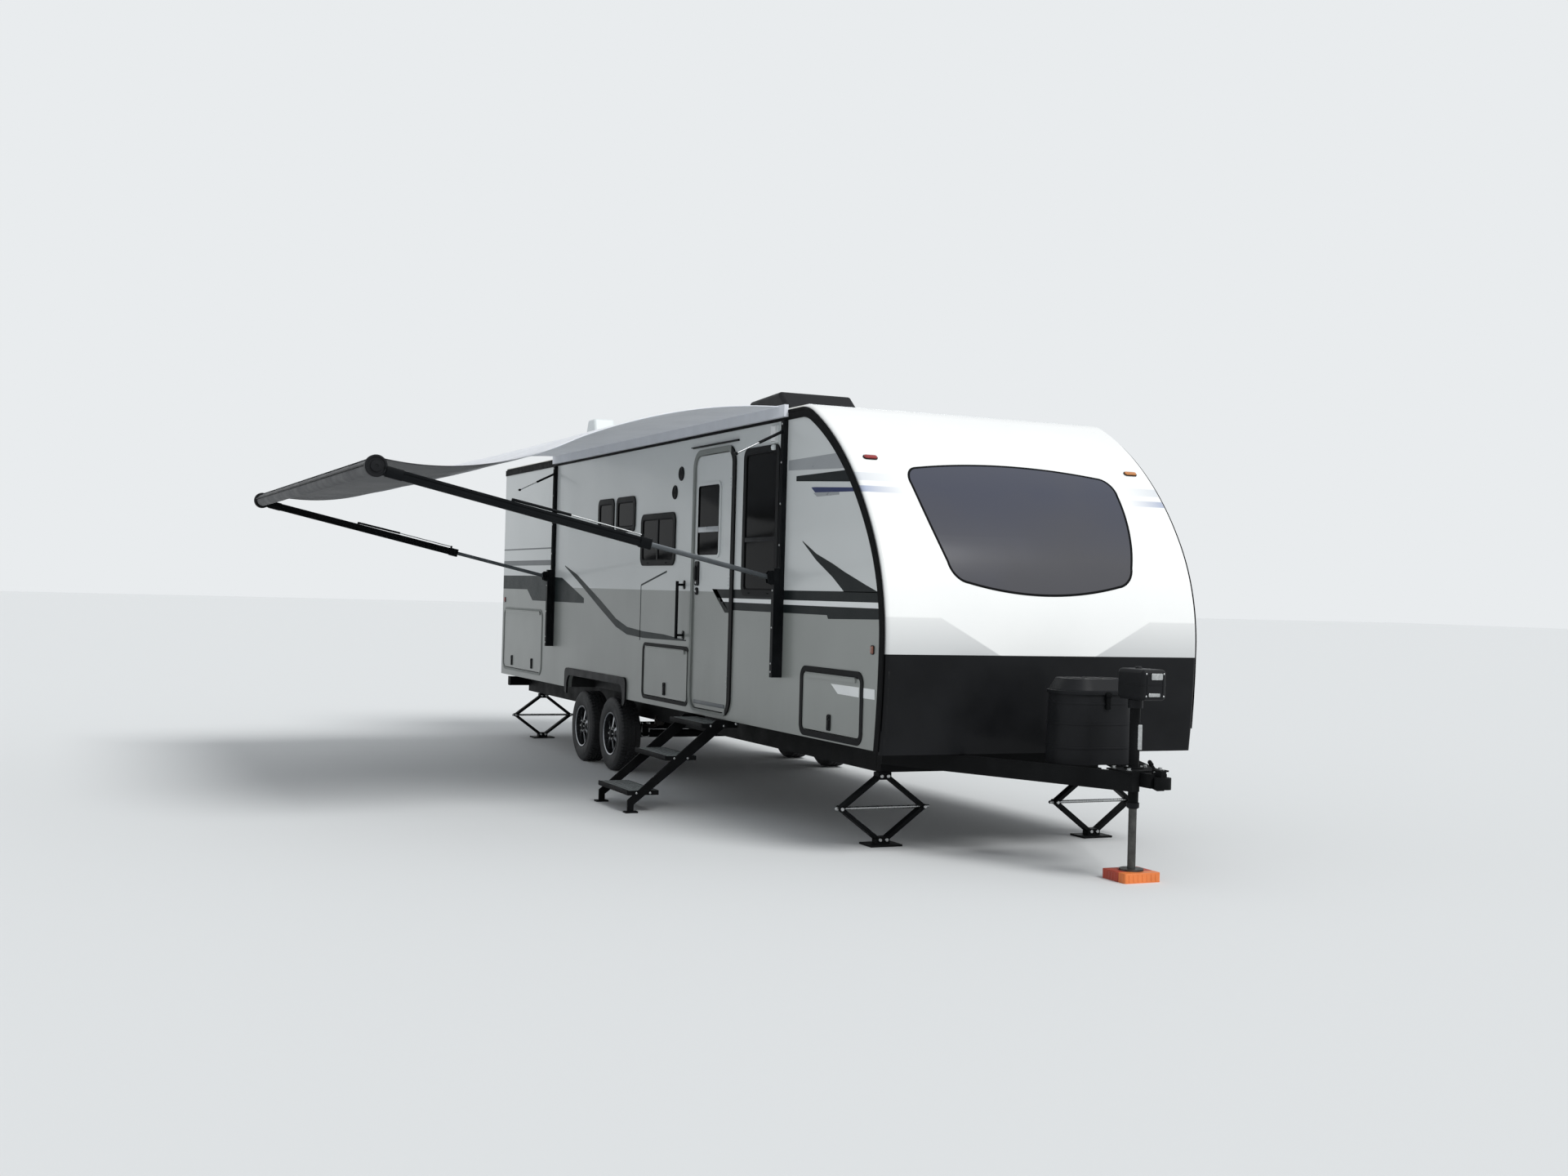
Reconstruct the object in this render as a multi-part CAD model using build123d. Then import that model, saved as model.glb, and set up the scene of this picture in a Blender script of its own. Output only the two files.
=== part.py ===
from build123d import *
from math import cos, radians, sin, tan
import os

# Travel caravan, in millimetres. +X runs forward along the drawbar, +Y to the left, +Z up.
# The origin is on the ground under the tongue jack, on the centre plane.

# Driving dimensions of the body
half_width = 1220
rear_x = -10400
nose_x = -1005
wall_top = 3018
wall_bottom = 700
wall = 40
shell = 32
edge_round = 30
belt_z = 1330
mask_bottom = 680
deck_top = 760

# Side profile of the nose, from the roof down: each arc's turning angles at start and end, and its radius
nose_arcs = (
    (0, 25.5, 430),
    (25.5, 59.5, 2220),
    (59.5, 90, 1385),
    (90, 97.3, 5900),
)

# Running gear
axle_x = (-6500, -7380)
wheel_y = 1102
tyre_r = 345
tyre_width = 205
rim_r = 190.5
axle_tube_r = 38
spindle_r = 20
rail_y = 860
rail_top = 700
rail_bottom = 500
well_x = (-7810, -6070)

# Entry door, its window and its opening
door_x = (-4380, -3600)
door_z = (755, 2800)
door_gap = 8
door_corner = 110
hinge_out = 12
knuckle_r = 5
door_window = (-4330, -3830, 1970, 2580)
rear_window = (-560, 560, 1760, 2360)

# Frames round windows, doors and hatches
glass_edge = 32
frame_lip = 18
frame_proud = 12
hatch_gap = 7

# Awning
awning_x = (-8380, -2610)
rail_z = (1090, 2955)
rail_proud = 35
shoe_proud = 80
shoe_top = 1880
arm_pivot = (-1318, 1812)
arm_width = 44
arm_depth = 66
arm_split = 0.34
roller_y = -4160
roller_z = 2463
roller_r = 55

# Tongue
coupler_x = 290
ball_r = 30
beam_z = (560, 675)
jack_tube_r = 32
jack_bore_r = 25.5
jack_ram_r = 25
block_top = 60


def box(x0, x1, y0, y1, z0, z1):
    """Block between two corners."""
    return Pos((x0 + x1) / 2, (y0 + y1) / 2, (z0 + z1) / 2) * Box(x1 - x0, y1 - y0, z1 - z0)


def side_panel(x0, x1, z0, z1, y0, y1, radius):
    """Rounded rectangle on a side wall, from y0 to y1."""
    plane = Plane(origin=(0, y1, 0), x_dir=(1, 0, 0), z_dir=(0, -1, 0))
    outline = plane * Pos((x0 + x1) / 2, (z0 + z1) / 2) * RectangleRounded(x1 - x0, z1 - z0, radius)
    return extrude(outline, amount=y1 - y0)


def end_panel(y0, y1, z0, z1, x0, x1, radius):
    """Rounded rectangle on an end wall, from x0 to x1."""
    plane = Plane(origin=(x0, 0, 0), x_dir=(0, 1, 0), z_dir=(1, 0, 0))
    outline = plane * Pos((y0 + y1) / 2, (z0 + z1) / 2) * RectangleRounded(y1 - y0, z1 - z0, radius)
    return extrude(outline, amount=x1 - x0)


def rod(start, end, radius):
    """Round bar between two points."""
    start, end = Vector(*start), Vector(*end)
    along = end - start
    return extrude(Plane(origin=start, z_dir=along) * Circle(radius), amount=along.length)


def bar(start, end, side, width, depth):
    """Flat bar between two points: width along side, depth across it."""
    start, end = Vector(*start), Vector(*end)
    along = end - start
    section = Plane(origin=start, x_dir=side, z_dir=along) * Rectangle(width, depth)
    return extrude(section, amount=along.length)


def slab(edges, x0, x1):
    """Closed outline in the YZ plane at x0, carried to x1."""
    return extrude(Face(Wire(edges)), amount=x1 - x0, dir=(1, 0, 0))


def polygon(points, x0, x1):
    """Flat plate with straight edges, its corners as y, z, from x0 to x1."""
    at = [(x0, y, z) for y, z in points]
    return slab([Line(at[i - 1], at[i]) for i in range(len(at))], x0, x1)


def mirrored(part):
    """The same piece on the other side of the centre plane."""
    return mirror(part, about=Plane.XZ)


def save(name, *solids):
    """One STEP file per node, holding its solids."""
    os.makedirs("parts", exist_ok=True)
    found = [s for item in solids for s in item.solids()]
    export_step(found[0] if len(found) == 1 else Compound(children=found), f"parts/{name}.step")


# Body envelope


def nose_nodes():
    """Points on the wall line where its arcs meet, from the roof down, and each arc's start."""
    run = sum(r * (sin(radians(b)) - sin(radians(a))) for a, b, r in nose_arcs if b <= 90)
    x, z = nose_x - run, wall_top
    rows = []
    for a, b, r in nose_arcs:
        rows.append((x, z, a, b, r))
        x += r * (sin(radians(b)) - sin(radians(a)))
        z -= r * (cos(radians(a)) - cos(radians(b)))
    return rows


def nose_point(row, angle, offset):
    """Point of one nose arc at a turning angle, moved out along its normal."""
    x, z, a, _, r = row
    out_x, out_z = sin(radians(angle)), cos(radians(angle))
    px = x + r * (out_x - sin(radians(a))) + offset * out_x
    pz = z - r * (cos(radians(a)) - out_z) + offset * out_z
    return px, pz


def envelope(offset, reach, floor_z):
    """Body block inside the side profile, moved out by offset, between y = -reach and reach."""
    rows = nose_nodes()
    top = wall_top + offset
    back = rear_x - offset if offset < 0 else rear_x
    start = nose_point(rows[0], 0, offset)
    edges = [Line((back, reach, top), (start[0], reach, top))]
    for row in rows:
        a, b = row[2], row[3]
        p, q, s = (nose_point(row, t, offset) for t in (a, (a + b) / 2, b))
        edges.append(ThreePointArc((p[0], reach, p[1]), (q[0], reach, q[1]), (s[0], reach, s[1])))
    foot_x = s[0] + (s[1] - floor_z) / tan(radians(b))
    edges.append(Line((s[0], reach, s[1]), (foot_x, reach, floor_z)))
    edges.append(Line((foot_x, reach, floor_z), (back, reach, floor_z)))
    edges.append(Line((back, reach, floor_z), (back, reach, top)))
    return extrude(Face(Wire(edges)), amount=2 * reach, dir=(0, -1, 0))


join_x = nose_nodes()[0][0]
far = half_width + 100
outer = envelope(shell, half_width, 600)
rounded = [e for e in outer.edges() if abs(abs((e @ 0.5).Y) - half_width) < 1 and (e @ 0.5).Z > 601]
rounded = [e for e in rounded if (e @ 0.5).X > rear_x + 1]
outer = fillet(rounded, edge_round)
inner = envelope(0, far, 500)
crust = outer - (inner + box(rear_x - 500, join_x, -far, far, 400, wall_top))

# Shield-shaped front window: half outline as y, z, from the top centre round to the bottom centre
shield = {
    "top": (0, 2628),
    "top_end": (755, 2575),
    "corner": (815, 2535),
    "side_start": (830, 2455),
    "side_mid": (796, 2190),
    "side_end": (728, 1940),
    "low_corner": (690, 1856),
    "low_end": (590, 1803),
    "bottom": (0, 1733),
}
shield_back = -1700
shield_width = shield["side_start"][0]
shield_half = (shield["top"][1] - shield["bottom"][1]) / 2
shield_z = shield["bottom"][1] + shield_half


def shield_block(inset):
    """Prism of the front window's outline, made smaller by inset."""
    def at(name, side):
        y, z = shield[name]
        scale_y = (shield_width - inset) / shield_width
        scale_z = (shield_half - inset) / shield_half
        return (shield_back, side * y * scale_y, shield_z + (z - shield_z) * scale_z)

    edges = [
        ThreePointArc(at("top_end", -1), at("top", 1), at("top_end", 1)),
        ThreePointArc(at("low_end", 1), at("bottom", 1), at("low_end", -1)),
    ]
    for s in (1, -1):
        edges.append(ThreePointArc(at("top_end", s), at("corner", s), at("side_start", s)))
        edges.append(ThreePointArc(at("side_start", s), at("side_mid", s), at("side_end", s)))
        edges.append(ThreePointArc(at("side_end", s), at("low_corner", s), at("low_end", s)))
    return slab(edges, shield_back, nose_x + 300)


glass_t = 14
seat_width = 45
roof = crust & box(rear_x - 200, join_x, -far, far, wall_top - 1, wall_top + 200)
cap = crust & box(join_x, 0, -far, far, belt_z, wall_top + 200)
mask = crust & box(join_x, 0, -far, far, mask_bottom, belt_z)
glass_back = envelope(shell - glass_t, far, 500)
rabbet = shield_block(0) - glass_back
save("roof_panel", roof)
save("front_cap", cap - rabbet - shield_block(seat_width))
save("front_mask", mask)
save("windshield", (outer - glass_back) & shield_block(0))

# Openings of the side walls: name, side, x0, x1, z0, z1, corner radius
windows = (
    ("tall", -1, -3350, -2720, 1690, 2780, 60),
    ("galley", -1, -5680, -4850, 1930, 2350, 60),
    ("mid_a", -1, -6380, -5890, 2240, 2530, 50),
    ("mid_b", -1, -6920, -6490, 2240, 2530, 50),
    ("bed", 1, -3300, -2500, 1750, 2350, 60),
    ("dinette", 1, -6200, -4700, 1650, 2400, 70),
    ("bath", 1, -8050, -7650, 2150, 2550, 60),
)
# Hatches add the width of the frame round them
hatches = (
    ("hatch_front_right", -1, -2210, -1330, 760, 1150, 40, 42),
    ("hatch_front_left", 1, -2210, -1330, 760, 1150, 40, 42),
    ("hatch_mid_right", -1, -5550, -4490, 780, 1200, 40, 30),
    ("hatch_rear_right", -1, -10300, -8800, 790, 1430, 80, 24),
)


def side_y(side, near, away):
    """Y range on one side, from its distances to the centre plane."""
    return (near, away) if side > 0 else (-away, -near)


def grown(span, by):
    """A range, or two in a row, opened by the same amount at each end."""
    return tuple(v + (by if i % 2 else -by) for i, v in enumerate(span))


def wall_opening(side, x0, x1, z0, z1, radius):
    """Cutter for an opening in a side wall."""
    y0, y1 = side_y(side, half_width - 2 * wall, half_width + wall)
    return side_panel(x0, x1, z0, z1, y0, y1, radius)


def wheel_arch(side):
    """Cutter for the wheel opening in a side wall."""
    y0, y1 = side_y(side, half_width - 2 * wall, half_width + wall)
    return side_panel(well_x[0], well_x[1], 560, 830, y0, y1, 110)


door_open = (door_x[0] - door_gap, door_x[1] + door_gap, door_z[0] - door_gap, door_z[1] + door_gap)
body_core = envelope(0, far, 500) - box(rear_x - 50, rear_x + wall, -far - 50, far + 50, 0, 4000)
body_core -= box(rear_x - 50, 100, -far - 50, far + 50, 400, wall_bottom)
sides = {}
for side, label in ((-1, "right"), (1, "left")):
    y0, y1 = side_y(side, half_width - wall, half_width)
    panel = body_core & box(rear_x - 60, 100, y0, y1, 0, 4000)
    for _, at_side, x0, x1, z0, z1, radius in windows:
        if at_side == side:
            panel -= wall_opening(side, x0, x1, z0, z1, radius)
    for _, at_side, x0, x1, z0, z1, radius, _ in hatches:
        if at_side == side:
            panel -= wall_opening(side, *grown((x0, x1, z0, z1), hatch_gap), radius)
    if side < 0:
        panel -= wall_opening(side, *door_open, door_corner)
    sides[label] = panel - wheel_arch(side)
    save(f"side_wall_{label}", sides[label])


# Each window: a frame ring through the wall, proud outside, with a dark pane in it
frames, panes = [], []
for _, side, x0, x1, z0, z1, radius in windows:
    opening = (x0, x1, z0, z1)
    hole = grown(opening, -glass_edge)
    y0, y1 = side_y(side, half_width - wall, half_width)
    ring = side_panel(*opening, y0, y1, radius)
    y0, y1 = side_y(side, half_width, half_width + frame_proud)
    ring += side_panel(*grown(opening, frame_lip), y0, y1, radius + frame_lip)
    y0, y1 = side_y(side, half_width - wall - 1, half_width + frame_proud + 1)
    frames.append(ring - side_panel(*hole, y0, y1, radius / 2))
    y0, y1 = side_y(side, half_width - 18, half_width + 4)
    panes.append(side_panel(*hole, y0, y1, radius / 2))

# Rear wall with its window
rear_corner = 60
rear_hole = grown(rear_window, -glass_edge)
rear_panel = box(rear_x, rear_x + wall, -half_width, half_width, wall_bottom, wall_top)
save("rear_wall", rear_panel - end_panel(*rear_window, rear_x - 50, rear_x + 90, rear_corner))
rear_ring = end_panel(*rear_window, rear_x, rear_x + wall, rear_corner)
rear_ring += end_panel(*grown(rear_window, frame_lip), rear_x - frame_proud, rear_x, rear_corner + frame_lip)
frames.append(rear_ring - end_panel(*rear_hole, rear_x - 20, rear_x + wall + 1, rear_corner / 2))
panes.append(end_panel(*rear_hole, rear_x - 4, rear_x + 18, rear_corner / 2))
save("window_panes", *panes)

# Door frame, wider on the hinge side, and the hatch frames
door_lip = (42, 60, 20, 42)
lip = tuple(edge + (by if i % 2 else -by) for i, (edge, by) in enumerate(zip(door_open, door_lip)))
door_frame = side_panel(*lip, -half_width - 14, -half_width, door_corner + 40)
door_frame -= side_panel(*door_open, -half_width - 15, -half_width + 1, door_corner)
hinge_x = door_x[1] + door_gap / 2
hinge_y = -half_width - hinge_out
hinge_z = (1000, 1780, 2560)
for z in hinge_z:
    door_frame -= rod((hinge_x, hinge_y, z - 46), (hinge_x, hinge_y, z + 46), knuckle_r + 5)
frames.append(door_frame)
for _, side, x0, x1, z0, z1, radius, hatch_lip in hatches:
    opening = grown((x0, x1, z0, z1), hatch_gap)
    y0, y1 = side_y(side, half_width, half_width + 6)
    ring = side_panel(*grown(opening, hatch_lip), y0, y1, radius + hatch_lip)
    y0, y1 = side_y(side, half_width - 1, half_width + 7)
    frames.append(ring - side_panel(*opening, y0, y1, radius))
save("opening_frames", *frames)

# Entry door with its window ring, its pane, and the hatches, each as thick as the wall
door_hole = grown(door_window, -28)
door = side_panel(*door_x, *door_z, -half_width, -half_width + wall, door_corner - door_gap)
door += side_panel(*door_window, -half_width - 10, -half_width, 50)
for z in hinge_z:
    door += rod((hinge_x, hinge_y, z - 40), (hinge_x, hinge_y, z + 40), knuckle_r)
    door += box(hinge_x - 34, hinge_x, hinge_y + 1, -half_width, z - 40, z + 40)
save("entry_door", door - side_panel(*door_hole, -half_width - 20, -half_width + wall + 1, 25))
save("entry_door_pane", side_panel(*door_hole, -half_width - 2, -half_width + 20, 25))
for name, side, x0, x1, z0, z1, radius, _ in hatches:
    y0, y1 = side_y(side, half_width - wall, half_width)
    hatch = side_panel(x0, x1, z0, z1, y0, y1, radius - hatch_gap)
    top, out = z1 + hatch_gap / 2, side * (half_width + hinge_out)
    hatch += rod((x0 + 60, out, top), (x1 - 60, out, top), knuckle_r)
    y0, y1 = side_y(side, half_width, half_width + hinge_out - 1)
    save(name, hatch + box(x0 + 60, x1 - 60, y0, y1, z1 - 28, top))

# Floor, wheel boxes and chassis
deck = box(rear_x + wall, -1150, -half_width + wall, half_width - wall, wall_bottom, deck_top)
for side in (-1, 1):
    y0, y1 = side_y(side, 930, half_width - wall)
    deck -= box(well_x[0], well_x[1], y0, y1, wall_bottom - 1, deck_top + 1)
save("floor_deck", deck)
wheel_box = box(well_x[0] - 15, well_x[1] + 15, -half_width + wall, -915, deck_top, 880)
wheel_box -= box(well_x[0], well_x[1], -half_width + wall - 1, -930, deck_top - 1, 865)
save("wheel_boxes", wheel_box, mirrored(wheel_box))

skirt = side_panel(well_x[0] - 70, well_x[1] + 70, 640, 895, -half_width - 18, -half_width, 60)
skirt -= side_panel(well_x[0] + 5, well_x[1] - 5, 560, 826, -half_width - 19, -half_width + 1, 105)
save("fender_skirts", skirt, mirrored(skirt))

rail = box(rear_x, -1700, rail_y - 30, rail_y + 30, rail_bottom, rail_top)
rail -= box(rear_x - 1, -1699, rail_y - 31, rail_y + 22, rail_bottom + 8, rail_top - 8)
save("main_rails", rail, mirrored(rail))
cross_x = (-10380, -9200, -8300, -6200, -5000, -3800, -2600, -1760)
crosses = [box(x - 25, x + 25, -rail_y + 31, rail_y - 31, rail_bottom + 20, rail_top - 10) for x in cross_x]
header_x = -1640
header = box(header_x - 60, header_x, -rail_y - 29, rail_y + 29, rail_bottom, rail_top - 10)
save("cross_members", *crosses, header)

# Drawbar: two beams that meet behind the coupler
beam_mid = sum(beam_z) / 2
beam = bar((200, 70, beam_mid), (header_x, rail_y + 29, beam_mid), (0, 0, 1), beam_z[1] - beam_z[0], 50)
beam &= box(header_x, 150, 0, 900, 500, 700)
save("tongue_beams", beam, mirrored(beam))

# Coupler: a plate on the beams, a channel between them and the ball socket with its latch
plate_top = beam_z[1] + 10
coupler = box(-75, 150, -150, 150, beam_z[1], plate_top)
coupler += box(20, 250, -60, 60, 590, beam_z[1])
coupler += Pos(coupler_x, 0, 625) * Cylinder(50, 70)
coupler += box(205, 300, -18, 18, 660, 700)
coupler += rod((215, 0, 695), (150, 0, 745), 9)
coupler -= Pos(coupler_x, 0, 590 + 25) * Cylinder(ball_r, 50)
coupler -= box(-80, 60, -70, 70, 580, beam_z[1])
coupler -= Pos(0, 0, plate_top) * Cylinder(jack_tube_r + 0.3, 40)
save("coupler", coupler)

# Tongue jack: column, motor head, ram with its foot, and the block under it
column_z = (440, 1185)
ram_top = 820
column = Pos(0, 0, sum(column_z) / 2) * Cylinder(jack_tube_r, column_z[1] - column_z[0])
column += Pos(0, 0, plate_top + 6) * Cylinder(62, 12)
column -= Pos(0, 0, 790) * Cylinder(jack_bore_r, 760)
head = fillet(box(-78, 192, -88, 88, 1112, 1300).edges(), 26)
head -= Pos(0, 0, 1100 + (column_z[1] - 1100) / 2) * Cylinder(jack_tube_r + 0.3, column_z[1] - 1100)
ram_foot = block_top + 0.3
ram = Pos(0, 0, (ram_foot + 12 + ram_top) / 2) * Cylinder(jack_ram_r, ram_top - ram_foot - 12)
ram += Pos(0, 0, ram_foot + 6) * Cylinder(75, 12)
save("jack_column", column)
save("jack_head", head)
save("jack_ram", ram)
save("jack_pad", box(-120, 120, -130, 130, 0, block_top))

# Gas bottle cover on the drawbar: a tapered shell under an overhanging lid
cover_x = -480


def cover_ring(length, width, radius, z):
    """Rounded section of the cover at one height."""
    return (Plane(origin=(cover_x, 0, z)) * RectangleRounded(length, width, radius)).face()


cover = loft([cover_ring(392, 568, 175, beam_z[1] + 1), cover_ring(368, 540, 165, 1118)])
cover += extrude(cover_ring(384, 556, 172, 1118), amount=24)
cover += loft([cover_ring(376, 548, 168, 1142), cover_ring(300, 455, 130, 1212)])
save("gas_bottle_cover", cover)

# Axles with seats, backing plates and spindles
axles = []
for x in axle_x:
    tube = rod((x, -935, tyre_r), (x, 935, tyre_r), axle_tube_r)
    for s in (-1, 1):
        tube += rod((x, s * 920, tyre_r), (x, s * 1150, tyre_r), spindle_r)
        tube += rod((x, s * 985, tyre_r), (x, s * 993, tyre_r), 120)
        tube += rod((x, s * 930, tyre_r), (x, s * 990, tyre_r), 50)
        y0, y1 = side_y(s, rail_y - 24, rail_y + 24)
        tube += box(x - 50, x + 50, y0, y1, tyre_r + 20, 398)
    axles.append(tube)
save("axles", *axles)

# Leaf springs with their hangers, one set a side
mid_axle = sum(axle_x) / 2


def leaf(x, y0, y1):
    """One curved leaf pack over an axle."""
    span, thick, seat, rise = 400, 28, 398, 70
    under = ThreePointArc((x - span, y0, seat + rise), (x, y0, seat), (x + span, y0, seat + rise))
    top = seat + rise + thick
    over = ThreePointArc((x + span, y0, top), (x, y0, seat + thick), (x - span, y0, top))
    end_a = Line((x + span, y0, seat + rise), (x + span, y0, top))
    end_b = Line((x - span, y0, top), (x - span, y0, seat + rise))
    return extrude(Face(Wire([under, end_a, over, end_b])), amount=y1 - y0, dir=(0, 1, 0))


springs = leaf(axle_x[0], rail_y - 24, rail_y + 24) + leaf(axle_x[1], rail_y - 24, rail_y + 24)
for x, reach in ((axle_x[0] + 400, 35), (mid_axle, 60), (axle_x[1] - 400, 35)):
    springs += box(x - reach, x + reach, rail_y - 30, rail_y + 30, 455, rail_bottom)
save("leaf_springs", springs, mirrored(springs))

# Wheels: tyre and rim for each corner, the outer face to the outside
wheels = (
    ("front_right", axle_x[0], -1),
    ("front_left", axle_x[0], 1),
    ("rear_right", axle_x[1], -1),
    ("rear_left", axle_x[1], 1),
)


def turned(points, x, side):
    """Ring from a closed profile of radius and distance outboard of the wheel's middle."""
    rows = [(r, t) for r, t in points]
    edges = [Line(rows[i], rows[(i + 1) % len(rows)]) for i in range(len(rows))]
    ring = revolve(Face(Wire(edges)), Axis.Y)
    return Pos(x, side * wheel_y, tyre_r) * (ring if side > 0 else mirrored(ring))


tread = tyre_width / 2
tyre_profile = (
    (rim_r, -80), (rim_r + 25, -tread + 8), (rim_r + 75, -tread),
    (tyre_r - 30, -tread + 6), (tyre_r - 8, -tread + 20), (tyre_r, -tread + 38),
    (tyre_r, tread - 38), (tyre_r - 8, tread - 20), (tyre_r - 30, tread - 6),
    (rim_r + 75, tread), (rim_r + 25, tread - 8), (rim_r, 80),
)
rim_profile = (
    (rim_r, -95), (rim_r, 95), (rim_r - 14, 95), (rim_r - 16, 60), (60, 42), (60, 78), (20.5, 78),
    (20.5, -80), (60, -80), (115, -75), (115, 10), (150, 18), (rim_r - 14, 30), (rim_r - 14, -95),
)
spokes = 6
gap_outline = ((-17, 84), (17, 84), (50, 158), (-50, 158))
for label, x, side in wheels:
    save(f"tyre_{label}", turned(tyre_profile, x, side))
    rim = turned(rim_profile, x, side)
    face = Plane(origin=(x, side * (wheel_y + 90), tyre_r), x_dir=(1, 0, 0), z_dir=(0, 1, 0))
    for k in range(spokes):
        plane = face.rotated((0, 360 / spokes * k, 0))
        rim -= extrude(plane * Polygon(*gap_outline, align=None), amount=100, both=True)
    save(f"rim_{label}", rim)

# Awning: wall rails with their lower shoes and the fabric track, arms, roller and fabric
fabric_x = (awning_x[0] + 60, awning_x[1] - 60)
rails = []
for x in awning_x:
    rail_bar = box(x - 25, x + 25, -half_width - rail_proud, -half_width, *rail_z)
    rails.append(rail_bar + box(x - 22, x + 22, -half_width - shoe_proud, -half_width, rail_z[0], shoe_top))
track = box(awning_x[0] - 40, awning_x[1] + 40, -half_width - 42, -half_width - 9, 2980, 3068)
save("awning_rails", *rails, track)
arm_end = (roller_y + 18, roller_z - 22)
split_y, split_z = (a + (b - a) * arm_split for a, b in zip(arm_pivot, arm_end))
arms = []
for x in awning_x:
    arm = bar((x, *arm_pivot), (x, split_y, split_z), (1, 0, 0), 30, 34)
    arm += bar((x, split_y, split_z), (x, *arm_end), (1, 0, 0), arm_width, arm_depth)
    arm += rod((x - 22, *arm_pivot), (x + 22, *arm_pivot), 24)
    arm += rod((x - 22, roller_y, roller_z), (x + 22, roller_y, roller_z), 74)
    arms.append(arm - box(x - 60, x + 60, -half_width - shoe_proud, -half_width, 1600, 2100))
    strut = bar((x, -half_width, 2878), (x, -half_width - 400, 2690), (1, 0, 0), 26, 18)
    arms.append(strut - box(x - 60, x + 60, -half_width - rail_proud, -half_width + 60, *rail_z))
save("awning_arms", *arms)
roller = rod((awning_x[0] + 22, roller_y, roller_z), (awning_x[1] - 22, roller_y, roller_z), roller_r)
save("awning_roller", roller)


def fabric_edges(x, drop):
    """The fabric's section: a convex arc off the rail and a sagging one to the roller."""
    start, crown, turn = (x, -1262, 3060 - drop), (x, -2000, 2980 - drop), (x, -2780, 2738 - drop)
    hang, end = (x, -3400, 2520 - drop), (x, roller_y, roller_z + roller_r + 14 - drop)
    return start, crown, turn, hang, end


def fabric(x0, x1, thick):
    """Sheet of the awning as a thin closed solid."""
    a, b, c, d, e = fabric_edges(x0, 0)
    f, g, h, i, j = fabric_edges(x0, thick)
    edges = [ThreePointArc(a, b, c), ThreePointArc(c, d, e), Line(e, j)]
    edges += [ThreePointArc(j, i, h), ThreePointArc(h, g, f), Line(f, a)]
    return slab(edges, x0, x1)


save("awning_fabric", fabric(*fabric_x, 4))

# Entry steps under the door: two stringers on feet, with three treads between them
stringer = (
    (-1120, 700), (-1300, 700), (-2010, 95), (-2010, 12),
    (-1960, 12), (-1960, 60), (-1230, 640), (-1120, 640),
)
stringer_t = 14
steps_x = (-4330, -3620)
treads = (("upper", -1290, 672), ("middle", -1585, 425), ("lower", -1885, 165))
tread_depth = 250
stairs = polygon(stringer, steps_x[0], steps_x[0] + stringer_t)
stairs += polygon(stringer, steps_x[1] - stringer_t, steps_x[1])
for _, y, z in treads:
    stairs += box(*steps_x, y - tread_depth / 2, y + tread_depth / 2, z - 34, z)
for x in steps_x:
    stairs += box(x - 35, x + 35, -2035, -1935, 0, 12)
save("entry_steps", stairs)

# Scissor stabilisers at the four corners, wound down to the ground
elbow_out, elbow_z = 318, 258
foot_pin, head_pin = 40, 475
jacks = []
for x in (-9900, -1665):
    legs = box(x - 90, x + 90, rail_y - 120, rail_y + 120, 0, 14)
    legs += box(x - 36, x + 36, rail_y - 50, rail_y + 50, 14, 60)
    legs += box(x - 36, x + 36, rail_y - 50, rail_y + 50, head_pin - 25, rail_bottom)
    for s in (-1, 1):
        elbow = (x, rail_y + s * elbow_out, elbow_z)
        legs += bar((x, rail_y + s * 25, foot_pin), elbow, (1, 0, 0), 60, 26)
        legs += bar((x, rail_y + s * 25, head_pin), elbow, (1, 0, 0), 60, 26)
        legs += rod((x - 34, *elbow[1:]), (x + 34, *elbow[1:]), 18)
    legs += rod((x, rail_y - elbow_out - 50, elbow_z), (x, rail_y + elbow_out, elbow_z), 9)
    jacks += [legs, mirrored(legs)]
save("stabilisers", *jacks)

# Roof fittings, each a closed shell standing on the roof
roof_z = wall_top + shell


def shroud(side_view, reach, radius):
    """Cover with a side view of x, z corners, as wide as reach on each side of its middle, edges rounded."""
    at = [(x, reach, z) for x, z in side_view]
    outline = Face(Wire([Line(at[i - 1], at[i]) for i in range(len(at))]))
    shell_block = extrude(outline, amount=2 * reach, dir=(0, -1, 0))
    top = [e for e in shell_block.edges() if (e @ 0.5).Z > roof_z + 1]
    return fillet(top, radius)


unit_view = ((-5490, roof_z), (-5490, 3250), (-5360, 3410), (-4730, 3440), (-4470, 3230), (-4470, roof_z))
save("air_conditioner", shroud(unit_view, 350, 35))
hood_view = ((-7900, roof_z), (-7900, 3300), (-7850, 3405), (-7660, 3405), (-7620, 3280), (-7620, roof_z))
low_view = ((-3700, roof_z), (-3700, 3115), (-3660, 3140), (-3340, 3140), (-3300, 3115), (-3300, roof_z))
save("roof_vents", Pos(0, -960, 0) * shroud(hood_view, 110, 30), shroud(low_view, 200, 12))

# Bumper with its brackets
bumper = box(rear_x - 110, rear_x - 10, -1100, 1100, 560, 660)
for s in (-1, 1):
    y0, y1 = side_y(s, rail_y - 30, rail_y + 30)
    bumper += box(rear_x - 12, rear_x, y0, y1, 560, 660)
save("rear_bumper", bumper)

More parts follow.
